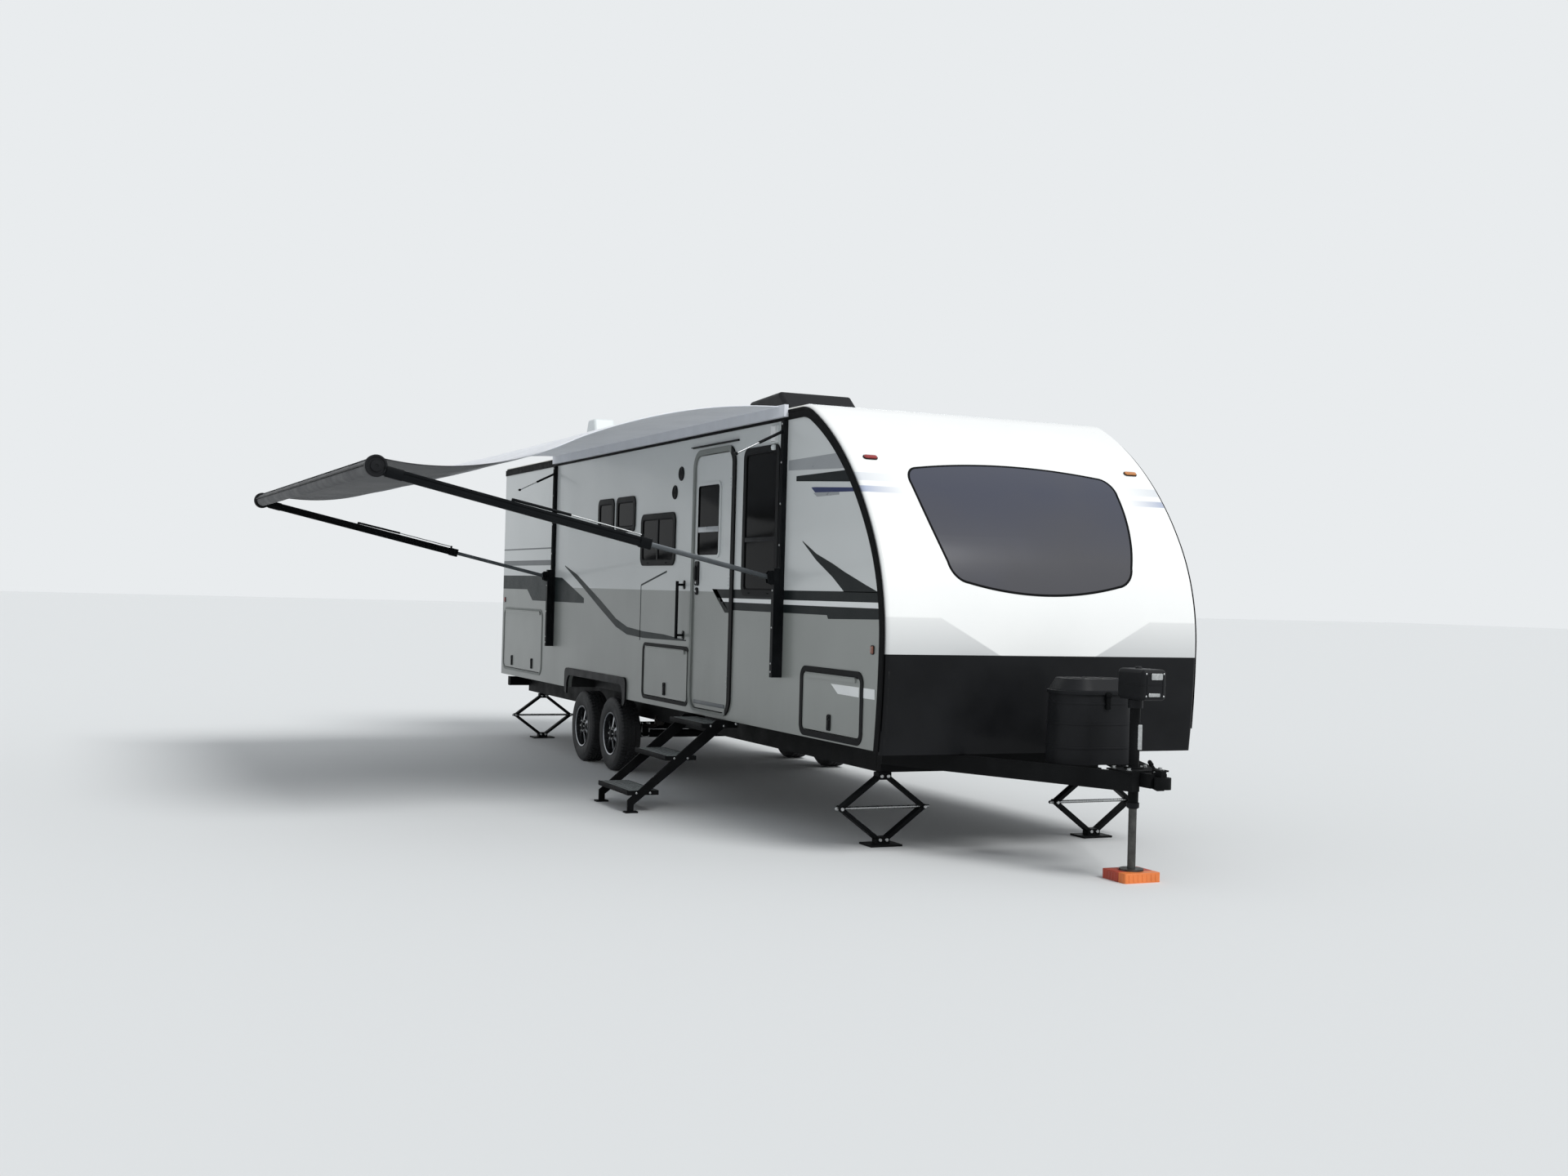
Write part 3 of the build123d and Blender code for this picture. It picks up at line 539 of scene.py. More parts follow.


# Stripes of vinyl on the side walls, and one painted shadow strip under the blue stripe: each row is x, upper
# edge, lower edge;
# a stripe whose last row says nose runs to the moulding. cut gives each body's reach in x.
rear = rearX + 0.002
stripeLook = dict(thick=0.0009, underMoulding=0.03, cut=(
    ("root", rearX, -4.432), ("entry_door", -4.372, -3.608), ("root", -3.530, 0.0)))
stripes = {
    "Black": (
        ((-3.98, 1.721, 1.720), (-3.86, 1.720, 1.651), ("nose", 1.726, 1.657)),
        ((-3.97, 1.720, 1.715), (-3.88, 1.720, 1.651), (-3.70, 1.602, 1.537), (-3.62, 1.552, 1.537)),
        ((-3.74, 1.622, 1.607), (-3.64, 1.622, 1.560), (-1.86, 1.618, 1.560), (-1.84, 1.618, 1.534),
         ("nose", 1.619, 1.549)),
        ((-2.286, 2.076, 2.070), (-2.053, 1.983, 1.937), (-1.79, 1.913, 1.822), (-1.60, 1.855, 1.720),
         (-1.293, 1.772, 1.720), (-1.12, 1.728, 1.720)),
        ((-2.42, 2.542, 2.505), ("nose", 2.542, 2.462)),
    ),
    "Pale": (((-3.80, 1.651, 1.622), ("nose", 1.657, 1.619)),),
    "Grey": (
        ((-2.56, 2.662, 2.590), ("nose", 2.666, 2.558)),
        # painted shadow: this grey strip under the blue stripe stands in for the blue stripe's shadow on the
        # wall
        ((-2.12, 2.409, 2.405), (-2.07, 2.409, 2.380), (-1.72, 2.398, 2.380)),
    ),
    "Mid": (((rear, 2.118, 2.103), (-8.36, 2.118, 2.103)), ((rear, 1.985, 1.930), (-8.36, 1.985, 1.930))),
    "Blue": (((-2.16, 2.450, 2.446), (-2.10, 2.449, 2.411), ("nose", 2.417, 2.391)),),
    "Slate": (
        ((rear, 1.820, 1.670), (-9.40, 1.820, 1.670), (-9.18, 1.820, 1.552), (-8.10, 1.800, 1.552),
         (-7.35, 1.60, 1.552)),
        ((-8.01, 1.925, 1.915), (-7.60, 1.835, 1.780), (-6.83, 1.590, 1.510), (-6.35, 1.425, 1.350),
         (-6.03, 1.358, 1.288), (-5.60, 1.332, 1.272), (-5.08, 1.322, 1.276), (-4.53, 1.292, 1.282)),
    ),
}
hairline = dict(path=((-5.68, 1.25), (-5.68, 1.74), (-5.03, 1.862)), width=0.016)


def stripePart(rows, side, low, high):
    # A flat strip between two edges, cut to x from low to high
    table = []
    for x, top, foot in rows:
        if x == "nose":
            ends = noseAt((top, foot), -stripeLook["underMoulding"])[0]
            table += [(ends[0], top, foot), (ends[1], foot + 0.001, foot)]
        else:
            table.append((x, top, foot))
    at, top, foot = np.array(table).T
    low, high = max(low, at[0]), min(high, at[-1])
    if low >= high - 0.002:
        return []
    x = np.unique(np.concatenate([[low], at[(at > low) & (at < high)], [high]]))
    top, foot = np.interp(x, at, top), np.interp(x, at, foot)
    near, away = side * halfWidth, side * (halfWidth + stripeLook["thick"])
    columns = ((top, near), (top, away), (foot, away), (foot, near))
    return [stackRings(np.stack([np.stack([x, np.full_like(x, y), z], -1) for z, y in columns], 1))]


def addStripes():
    for colour, shapes in stripes.items():
        for side, label in ((-1, "right"), (1, "left")):
            found = {"root": [], "entry_door": []}
            for rows in shapes:
                for body, low, high in stripeLook["cut"] if side < 0 else (("root", rearX, 0.0),):
                    found[body] += stripePart(rows, side, low, high)
            for body, end in (("entry_door", "_door"), ("root", "")):
                if found[body]:
                    makePiece(f"stripes{colour}_{label}{end}", found[body], "vinyl" + colour,
                              body, smooth=0)
    points, half, lines = np.array(hairline["path"]), hairline["width"] / 2, []
    for start, end in zip(points, points[1:]):
        across = np.array([start[1] - end[1], end[0] - start[0]])
        across = across / np.linalg.norm(across) * half
        flat = (start - across, end - across, end + across, start + across)
        lines.append(plateOf(flat, sideSeat(-1, 0, 0), stripeLook["thick"]))
    makePiece("hairline_right", lines, "vinylSlate", smooth=0)


addStripes()
print("stripes laid")

# From here on a slab in the settings is width, height, corner radius, thickness and edge; a frame is
# width, height and corner radius; a key or cap is rows of radius and distance along its axis.
# Windows: side, x from and to, z from and to, corner radius, then a dividing rail, upright at an x or
# level at a z
windowLook = dict(bead=0.009, beadHigh=0.006, bar=0.034, barHigh=0.007, paneOut=0.004, edge=0.032,
                  weep=(0.034, 0.010, 0.005, 0.004, 0.002), rear=(0, 2.06, 1.038, 0.518, 0.03),
                  door=(-4.08, 2.20, 2.275), doorOut=0.002, doorRail=(0.444, 0.045, 0.003, 0.008, 0.003),
                  doorBead=(0.436, 0.546, 0.02), doorLip=(0.010, 0.009, 0.003))
windows = (
    (-1, -3.350, -2.720, 1.690, 2.780, 0.060, "level", 2.10),
    (-1, -5.680, -4.850, 1.930, 2.350, 0.060, "upright", -5.265),
    (-1, -6.380, -5.890, 2.240, 2.530, 0.050, None, 0), (-1, -6.920, -6.490, 2.240, 2.530, 0.050, None, 0),
    (1, -3.300, -2.500, 1.750, 2.350, 0.060, "upright", -2.90),
    (1, -6.200, -4.700, 1.650, 2.400, 0.070, "upright", -5.45),
    (1, -8.050, -7.650, 2.150, 2.550, 0.060, None, 0),
)


def addWindowTrim():
    # A rubber bead round each pane, a dividing rail and two weep covers at the foot of the frame
    look, beads, rails, weeps = windowLook, [], [], []
    out, bead, wide, high = look["paneOut"], look["bead"], look["bar"], look["barHigh"]
    section = lip(bead, look["beadHigh"], 0.002)
    for side, x0, x1, z0, z1, radius, kind, at in windows:
        x, z = (x0 + x1) / 2, (z0 + z1) / 2
        width, height = x1 - x0 - 2 * look["edge"], z1 - z0 - 2 * look["edge"]
        beads.append(ringFrame(sideSeat(side, x, z, out), width - 2 * bead, height - 2 * bead, radius / 2,
                               section))
        if kind == "upright":
            rails.append(softSlab(sideSeat(side, at, z, out), wide, height, 0.003, high, 0.003))
        if kind == "level":
            rails.append(softSlab(sideSeat(side, x, at, out), width, wide, 0.003, high, 0.003))
        for share in (0.22, 0.78):
            weeps.append(softSlab(sideSeat(side, x0 + share * (x1 - x0), z0 + 0.006, 0.012), *look["weep"]))
    y, z, *size = look["rear"]
    beads.append(ringFrame(rearSeat(y, z, out), *size, section))
    makePiece("window_beads", beads, "rubberTrim")
    makePiece("window_rails", rails, "mouldedBlack")
    makePiece("window_weeps", weeps, "rubberTrim")
    x, railZ, beadZ = look["door"]
    rail = softSlab(sideSeat(-1, x, railZ, look["doorOut"]), *look["doorRail"])
    makePiece("door_window_rail", rail, "anodisedAluminium", "entry_door")
    bead = ringFrame(sideSeat(-1, x, beadZ, look["doorOut"]), *look["doorBead"], lip(*look["doorLip"]))
    makePiece("door_window_bead", bead, "rubberTrim", "entry_door")


addWindowTrim()

# Windshield gasket: the shield's half outline as y, z of points on arcs, each arc through a point, a middle
# and the next
shield = ((0, 2.628), (0.755, 2.575), (0.815, 2.535), (0.830, 2.455), (0.796, 2.190), (0.728, 1.940),
          (0.690, 1.856), (0.590, 1.803), (0, 1.733))
gasketLook = dict(half=0.008, high=0.0035)


def arcThrough(a, b, c, count):
    # Points on the circle through three points, from a to c by way of b, worked out with complex numbers
    a, b, c = (complex(*p) for p in (a, b, c))
    w = (c - a) / (b - a)
    centre = a + (b - a) * (w - abs(w) ** 2) / (2j * w.imag)
    turns = np.unwrap(np.angle(np.array([a, b, c]) - centre))
    line = centre + abs(a - centre) * np.exp(1j * np.linspace(turns[0], turns[2], count))
    return np.stack([line.real, line.imag], -1)


def addGasket():
    # The outline's right half arc by arc and the same mirrored,
    # laid on the nose, with a low section carried round
    top, topEnd, corner, sideStart, sideMid, sideEnd, lowCorner, lowEnd, foot = shield
    right = np.concatenate([
        arcThrough((-topEnd[0], topEnd[1]), top, topEnd, 41)[20:],
        arcThrough(topEnd, corner, sideStart, 10)[1:],
        arcThrough(sideStart, sideMid, sideEnd, 20)[1:], arcThrough(sideEnd, lowCorner, lowEnd, 10)[1:],
        arcThrough(lowEnd, foot, (-lowEnd[0], lowEnd[1]), 41)[1:21]])
    y, z = np.concatenate([right, right[1:-1][::-1] * (-1, 1)]).T
    x, nx, nz = noseAt(z, shellOut)
    path, normal = np.stack([x, y, z], -1), np.stack([nx, 0 * nx, nz], -1)
    side = np.cross(np.roll(path, -1, 0) - np.roll(path, 1, 0), normal)
    side /= np.linalg.norm(side, axis=1, keepdims=True)
    half, high = gasketLook["half"], gasketLook["high"]
    section = ((-half, -0.003), (half, -0.003), (half, high * 0.5), (half * 0.6, high), (-half * 0.6, high),
               (-half, high * 0.5))
    rings = np.stack([path + s * side + d * normal for s, d in section], 1)
    makePiece("windshield_gasket", stackRings(rings, True), "rubberTrim")


addGasket()
print("glazing trimmed")

# Entry door: handle plate with its paddle and lock, hinge screws, kick strip, and the drip rail over the frame
doorLook = dict(handle=(-4.312, 1.845), lock=(-4.312, 1.700), screwX=-3.618, hinges=(1.000, 1.780, 2.560),
                kick=(-3.99, 0.800), drip=(-4.471, -3.491, 2.872), plate=(0.088, 0.200, 0.020, 0.012, 0.005),
                lockPlate=(0.062, 0.062, 0.030, 0.012, 0.005), well=(0.052, 0.112, 0.012), wellUp=0.006,
                paddle=(0.050, 0.110, 0.010), screwGap=0.026, kickSize=(0.66, 0.030, 0.004, 0.004, 0.002),
                key=((0.011, 0), (0.011, 0.004), (0.009, 0.006), (0.0015, 0.006)), keyDown=0.075)


def addDoorFittings():
    look, (x, z), out, gap = doorLook, doorLook["handle"], doorLook["plate"][3], doorLook["screwGap"]
    plate = softSlab(sideSeat(-1, x, z), *look["plate"])
    well = ringFrame(sideSeat(-1, x, z + look["wellUp"], out), *look["well"], lip(0.006, 0.004, 0.002))
    lock = softSlab(sideSeat(-1, *look["lock"]), *look["lockPlate"])
    makePiece("door_handle_plate", [plate, well, lock], "mouldedBlack", "entry_door")
    steps = (0, 0), (0.001, 0.008), (0.006, 0.014), (0.014, 0.016)
    paddle = pillow(sideSeat(-1, x, z, out), *look["paddle"], steps)
    makePiece("door_paddle", paddle, "powderCoatBlack", "entry_door")
    keys = [lathe(look["key"], (a, -halfWidth - out, b), -yAxis, 20)
            for a, b in ((x, z - look["keyDown"]), look["lock"])]
    makePiece("door_keyways", keys, "zincSteel", "entry_door")
    heads = [(look["screwX"], -halfWidth - 0.011, h + d) for h in look["hinges"] for d in (-gap, 0, gap)]
    makePiece("hinge_screws", domes(heads, 0.005, 0.002, -yAxis), "zincSteel", "entry_door")
    kick = softSlab(sideSeat(-1, *look["kick"]), *look["kickSize"])
    makePiece("door_kick_strip", kick, "anodisedGrey", "entry_door")
    x0, x1, z = look["drip"]
    section = ((0, 0), (0.003, 0), (0.020, 0.007), (0.023, 0.004), (0.025, 0.006), (0.021, 0.012),
               (0.003, 0.014), (0, 0.014))
    rail = stackRings([[(x, -halfWidth - out, z + up) for out, up in section] for x in (x0, x1)])
    makePiece("door_drip_rail", rail, "powderCoatBlack")


addDoorFittings()

# Luggage hatches: side, and the latches' x and z; pale flashes on the front hatch and on the wall beside it
hatchLatches = {"hatch_front_right": (-1, ((-1.783, 0.829),)), "hatch_front_left": (1, ((-1.783, 0.829),)),
                "hatch_mid_right": (-1, ((-5.020, 0.855),)),
                "hatch_rear_right": (-1, ((-9.950, 0.870), (-9.150, 0.870)))}
flashes = (("hatch_flash", "hatch_front_right",
            ((-1.770, 1.096), (-1.345, 1.096), (-1.345, 1.030), (-1.660, 1.034))),
           ("wall_flash", "root", ((-1.290, 1.096), (-1.125, 1.096), (-1.120, 1.030), (-1.290, 1.030))))


latchLook = dict(plate=(0.052, 0.112, 0.012, 0.005, 0.003), rim=(0.040, 0.100, 0.008), leverDown=0.012,
                 lever=(0.034, 0.060, 0.006, 0.007, 0.003), keyUp=0.034,
                 key=((0.010, 0), (0.010, 0.004), (0.008, 0.005), (0.001, 0.005)))


def addLatches():
    # Paddle latch: a plate with a raised rim, a thumb lever and a key
    look, out = latchLook, latchLook["plate"][3]
    for body, (side, places) in hatchLatches.items():
        plates, levers = [], []
        for x, z in places:
            keyhole = (x, side * (halfWidth + out), z + look["keyUp"])
            plates += [softSlab(sideSeat(side, x, z), *look["plate"]),
                       ringFrame(sideSeat(side, x, z, out), *look["rim"], lip(0.005, 0.005, 0.002))]
            levers += [softSlab(sideSeat(side, x, z - look["leverDown"], out), *look["lever"]),
                       lathe(look["key"], keyhole, side * yAxis, 18)]
        makePiece(f"latch_{body}", plates, "mouldedBlack", body)
        makePiece(f"latch_lever_{body}", levers, "powderCoatBlack", body)
    for name, body, wedge in flashes:
        flash = plateOf(wedge, sideSeat(-1, 0, 0), stripeLook["thick"])
        makePiece(name, flash, "vinylPale", body, smooth=0)


addLatches()
print("door and hatches fitted")

# Awning: the rails' x; the arm's lower pin and outer end as y, z; the share at which its outer channel
# starts; the collar and knuckle as width, depth and from and to along the arm; radii of the upper strut's
# body and rod, then the lower one's; the pin's ear as y, z; the upper strut's ends; the roller; the rails'
# bolts; and the cloth's ends, thickness and section
awning = dict(xs=(-8.380, -2.610), pin=(-1.318, 1.812), end=(-4.142, 2.441), split=0.34, width=0.044,
              depth=0.066, slim=(0.030, 0.034), collar=(0.054, 0.076), knuckle=(0.052, 0.074), strutDrop=0.050,
              collarReach=(-0.035, 0.045), knuckleReach=(-0.16, -0.05), strutRadii=(0.011, 0.006, 0.010, 0.005),
              ear=((-1.302, 1.760), (-1.345, 1.775), (-1.352, 1.840), (-1.330, 1.862), (-1.302, 1.862)),
              strutTop=(-halfWidth - 0.038, 2.872), strutLow=(-halfWidth - 0.395, 2.692),
              roller=(-4.160, 2.463), rollerR=0.055, capR=0.074, slots=(1.890, 2.945),
              footBolts=(1.13, 1.19, 1.45, 1.72), railBolts=(2.05, 2.35, 2.65, 2.93), clothX=(-8.320, -2.670),
              clothT=0.003, crown=((-1.262, 3.060), (-2.000, 2.980), (-2.780, 2.738)), sag=(-3.400, 2.520))


def channel(width, depth, groove, deep, edge=0.005):
    # Section of an extruded bar with a groove down each side face: one half and its opposite
    w, d, g = width / 2, depth / 2, groove / 2
    half = np.array([(w - edge, -d), (w, -d + edge), (w, -g), (w - deep, -g + 0.002), (w - deep, g - 0.002),
                     (w, g), (w, d - edge), (w - edge, d)])
    return np.roll(np.concatenate([half, -half]), 1, 0)


def addAwningArms():
    # Each arm: a slim inner tube on a pin, an outer channel it slides into, a collar where
    # they meet, the roller's end cap, and two gas struts, each a cylinder with a thinner rod
    start, end = np.array(awning["pin"]), np.array(awning["end"])
    along = (end - start) / np.linalg.norm(end - start)
    split = start + (end - start) * awning["split"]
    up, hub = (0, -along[1], along[0]), awning["capR"]
    cap = ((0.004, -0.024), (hub - 0.006, -0.024), (hub, -0.018), (hub, 0.014), (hub - 0.006, 0.020),
           (hub - 0.014, 0.020), (hub - 0.016, 0.014), (0.040, 0.014), (0.038, 0.024), (0.012, 0.026),
           (0.011, 0.022), (0.004, 0.022))
    drop = np.array([along[1], -along[0]]) * awning["strutDrop"]
    bodyR, rodR, lowBodyR, lowRodR = awning["strutRadii"]
    a, b, c = (split + (end - split) * share + drop * less
               for share, less in ((0.02, 1), (0.30, 1), (0.52, 0.9)))
    section = channel(awning["width"], awning["depth"], 0.030, 0.005)
    outer, inner, castings, caps, struts, bright = [], [], [], [], [], []
    for x in awning["xs"]:
        def at(*point):
            return np.array([x, *point])
        outer.append(sweep([at(*split), at(*(split + end) / 2), at(*end - along * 0.03)], section, up))
        inner.append(bar(at(*start), at(*split + along * 0.02), *awning["slim"], up, 0.006))
        for spot, reach, size in ((split, "collarReach", "collar"), (end, "knuckleReach", "knuckle")):
            ends = [at(*spot + along * d) for d in awning[reach]]
            castings.append(bar(*ends, *awning[size], up, 0.008))
        for side in (-1, 1):
            castings.append(plateOf(awning["ear"], facing((x + side * 0.0175, 0, 0), side, "x"), 0.005))
        castings.append(pin(at(*start), xAxis, 0.010, 0.028, 20, 0.001))
        caps.append(lathe(cap, at(*awning["roller"]), xAxis if x > -5 else -xAxis, 48))
        top, low = at(*awning["strutTop"]), at(*awning["strutLow"])
        middle = top + (low - top) * 0.45
        struts.append(tube([top, (top + middle) / 2, middle + (low - top) * 0.05], bodyR, xAxis))
        bright.append(tube(halved(middle, low), rodR, xAxis, 12))
        struts += [pin(place, xAxis, 0.012, 0.015, 16, 0.001) for place in (low, top)]
        struts.append(tube(halved(at(*b), at(*c)), lowBodyR, xAxis))
        bright.append(tube(halved(at(*a), at(*b)), lowRodR, xAxis, 12))
        for place in (a, c):
            castings.append(bar(at(*place - drop * 0.7), at(*place + drop * 0.15), 0.016, 0.024, xAxis))
    for name, parts, material, slot in (
            ("arm_channels", outer, "powderCoatBlack", "awning_black"),
            ("arm_tubes", inner, "anodisedGrey", "bright_steel"),
            ("castings", castings, "powderCoatBlack", "awning_black"),
            ("roller_caps", caps, "mouldedBlack", "awning_black"),
            ("struts", struts, "powderCoatBlack", "awning_black"),
            ("strut_rods", bright, "zincSteel", "bright_steel")):
        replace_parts(makePiece("awning_" + name, parts, material), "awning_arms")


def addAwningRoller():
    # The roll: a tube with the cloth wound on it in a slow
    # spiral step, slightly uneven, and the lead rail along it
    (x0, x1), (y, z), radius = awning["xs"], awning["roller"], awning["rollerR"]
    angle = np.linspace(0, 2 * pi, 48, endpoint=False)
    x = np.concatenate([[x0 + 0.022, x0 + 0.058], np.linspace(x0 + 0.060, x1 - 0.060, 90),
                        [x1 - 0.058, x1 - 0.022]])[:, None]
    wave = 0.0008 * np.sin(x * 9.0) * np.sin(angle * 2 + x * 1.7)
    spiral = radius - 0.004 + 0.004 * angle / (2 * pi)
    reach = np.where((x > x0 + 0.059) & (x < x1 - 0.059), spiral + wave, radius * 0.72)
    rings = np.stack([x + 0 * reach, y + reach * np.cos(angle), z + reach * np.sin(angle)], -1)
    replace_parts(makePiece("awning_roll", stackRings(rings), "awningRollVinyl"), "awning_roller")
    y, z = y - radius - 0.002, z + 0.012
    rail = bar((x0 + 0.07, y, z), (x1 - 0.07, y, z), 0.018, 0.010, zAxis, 0.003)
    makePiece("awning_lead_rail", rail, "powderCoatBlack")


def clothProfile(half):
    # The cloth's section as y, z: an arc that crowns off the
    # rail, then a sagging one to the roller, smoothed three times
    y, z = awning["roller"]
    sagging = arcThrough(awning["crown"][-1], awning["sag"], (y, z + awning["rollerR"] + 0.011), half)
    line = np.concatenate([arcThrough(*awning["crown"], half), sagging[1:]])
    for _ in range(3):
        line[1:-1] = 0.25 * line[:-2] + 0.5 * line[1:-1] + 0.25 * line[2:]
    return line


def addAwningCloth():
    # A grid over x and the section, with shallow waves between
    # the ends and a hollow towards the middle, given a thin back
    x0, x1 = awning["clothX"]
    line = clothProfile(36)
    across, down = np.linspace(0, 1, 110)[:, None], np.linspace(0, 1, len(line))
    hold = np.sin(pi * down) * np.sin(pi * across)
    sag = (0.010 * hold + 0.004 * hold * np.sin(26 * across + 3 * down)
           + 0.0025 * np.sin(pi * down) * np.sin(61 * across + 9 * down))
    top = np.stack([x0 + (x1 - x0) * across + 0 * sag, line[:, 0] + 0 * sag, line[:, 1] - sag], -1)
    index = np.arange(sag.size).reshape(sag.shape)
    count = sag.size
    face = np.stack([index[:-1, :-1], index[:-1, 1:], index[1:, 1:], index[1:, :-1]], -1).reshape(-1, 4)
    rim = np.concatenate([index[0], index[1:, -1], index[-1, -2::-1], index[-2:0:-1, 0]])
    ahead = np.roll(rim, -1)
    edge = np.stack([rim, rim + count, ahead + count, ahead], -1)
    faces = np.concatenate([face, face[:, ::-1] + count, edge]).tolist()
    points = np.concatenate([top, top - (0, 0, awning["clothT"])]).reshape(-1, 3)
    cloth = makePiece("awning_cloth", (points, faces), "coatedAwningVinyl", smooth=60)
    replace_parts(cloth, "awning_fabric")
    hems = [sweep(top[end] + (inward, 0, -0.0015), roundedRect(0.028, 0.008, 0.0035, 3), zAxis)
            for end, inward in ((0, 0.012), (-1, -0.012))]
    hem = makePiece("awning_hems", hems, "coatedAwningVinyl")


def addRailDetails():
    # Two ribs down each rail, and bolts up it and its foot
    ribs, bolts = [], []
    z0, z1 = awning["slots"]
    for x in awning["xs"]:
        for dx in (-0.012, 0.012):
            place = sideSeat(-1, x + dx, (z0 + z1) / 2, 0.035)
            ribs.append(softSlab(place, 0.004, z1 - z0, 0.001, 0.003, 0.001, perCorner=2))
        bolts += [(x, -halfWidth - 0.080, z) for z in awning["footBolts"]]
        bolts += [(x, -halfWidth - 0.035, z) for z in awning["railBolts"]]
    makePiece("rail_ribs", ribs, "powderCoatBlack")
    makePiece("rail_bolts", domes(bolts, 0.008, 0.005, -yAxis, 12), "zincSteel")


addAwningArms()
addAwningRoller()
addAwningCloth()
addRailDetails()
print("awning hung")

# Wheels: the tyre's half section from bead to tread as radius, half width; blocks give the steps of a pitch
wheelLook = dict(y=1.102, radius=0.345, half=0.0645, crown=0.0022, pitches=60,
                 blocks=(0.0, 0.04, 0.20, 0.24, 0.50, 0.54, 0.62, 0.66), deep=0.007,
                 ribs=(-0.037, 0.0, 0.037), ribHalf=0.004, spokes=6, nutCircle=0.055)
tyreHalf = ((0.1905, 0.080), (0.2000, 0.0905), (0.2155, 0.0960), (0.2400, 0.1005), (0.2655, 0.1025),
            (0.2900, 0.1010), (0.3150, 0.0965), (0.3290, 0.0900), (0.3380, 0.0820), (0.3430, 0.0735))
barrel = ((0.2010, 0.0890), (0.2015, 0.0950), (0.1985, 0.0980), (0.1930, 0.0970), (0.1870, 0.0930),
          (0.1835, 0.0600), (0.1790, 0.0400), (0.1720, 0.0200), (0.1700, -0.0400), (0.1820, -0.0860),
          (0.1930, -0.0960), (0.2000, -0.0960), (0.2010, -0.0900), (0.1905, -0.0860), (0.1905, 0.0850))
hub = ((0.004, -0.070), (0.060, -0.070), (0.062, 0.030), (0.070, 0.040), (0.072, 0.066), (0.066, 0.074),
       (0.040, 0.078), (0.004, 0.078))
drum = ((0.070, -0.075), (0.113, -0.075), (0.115, -0.070), (0.115, 0.006), (0.110, 0.010), (0.070, 0.010))
hubCap = ((0.034, 0.076), (0.034, 0.088), (0.031, 0.094), (0.022, 0.098), (0.003, 0.099))
rimLip = ((0.1880, 0.0950), (0.1930, 0.0978), (0.1985, 0.0988), (0.1990, 0.0975), (0.1930, 0.0960),
          (0.1880, 0.0936))
wheelNut = ((0.0105, 0.072), (0.0105, 0.090), (0.0080, 0.093), (0.0015, 0.094))
wheels = [(corner, sum(p.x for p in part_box(f"tyre_{corner}")) / 2, -1 if corner.endswith("right") else 1)
          for corner in ("front_right", "front_left", "rear_right", "rear_left")]


def onAxle(profile, count, loop=False):
    # A profile turned about the wheel's axis
    return lathe(profile, (0, 0, 0), yAxis, count, loop)


def tyreShape():
    # Radius over a grid of angle and width: the section, less
    # grooves round it, across the shoulders and between blocks
    look = wheelLook
    gaps = [g + s * look["ribHalf"] + d for g in look["ribs"]
            for s, d in ((-1, -0.0006), (-1, 0), (1, 0), (1, 0.0006))]
    tread = np.sort([-0.0645, -0.056, -0.048, 0.048, 0.056, 0.0645, -0.020, 0.020, -0.012, 0.012] + gaps)
    crown = np.stack([look["radius"] - look["crown"] * (tread / look["half"]) ** 2, tread], -1)
    rise = np.array(tyreHalf)
    reach, width = np.concatenate([rise * (1, -1), crown, rise[::-1]]).T
    pitches = np.arange(look["pitches"])[:, None] + look["blocks"]
    angle = pitches.ravel()[:, None] * 2 * pi / look["pitches"]
    step = np.tile(np.arange(8), look["pitches"])[:, None]
    off = np.abs(width)
    onTread = off <= look["half"] + 0.0001
    rib = np.any([np.abs(width - gap) <= look["ribHalf"] + 1e-6 for gap in look["ribs"]], 0)
    shoulder, block = (off > 0.042) & (reach > 0.33), (off > 0.006) & (off < 0.031) & onTread
    cut = onTread & rib | shoulder & ((step == 1) | (step == 2)) | block & ((step == 5) | (step == 6))
    out = reach - look["deep"] * cut * np.clip((reach - 0.325) / 0.012, 0, 1)
    rings = np.stack([out * np.cos(angle), width + 0 * out, out * np.sin(angle)], -1)
    bands = [onAxle(((0.2885, s * 0.1005), (0.2885, s * 0.1024), (0.2915, s * 0.1022), (0.2915, s * 0.1000)),
                    96, True)
             for s in (-1, 1)]
    return joined([stackRings(rings, True)] + bands)


def spokesOf(halves, heights, reach):
    # A section of half widths and heights carried outwards, and copies of it turned about the axle
    x, y = np.concatenate(halves, 1), np.concatenate(heights, 1)
    z, made = reach + 0 * x, []
    for k in range(wheelLook["spokes"]):
        a = k * 2 * pi / wheelLook["spokes"]
        made.append(stackRings(np.stack([x * cos(a) + z * sin(a), y, z * cos(a) - x * sin(a)], -1)))
    return made


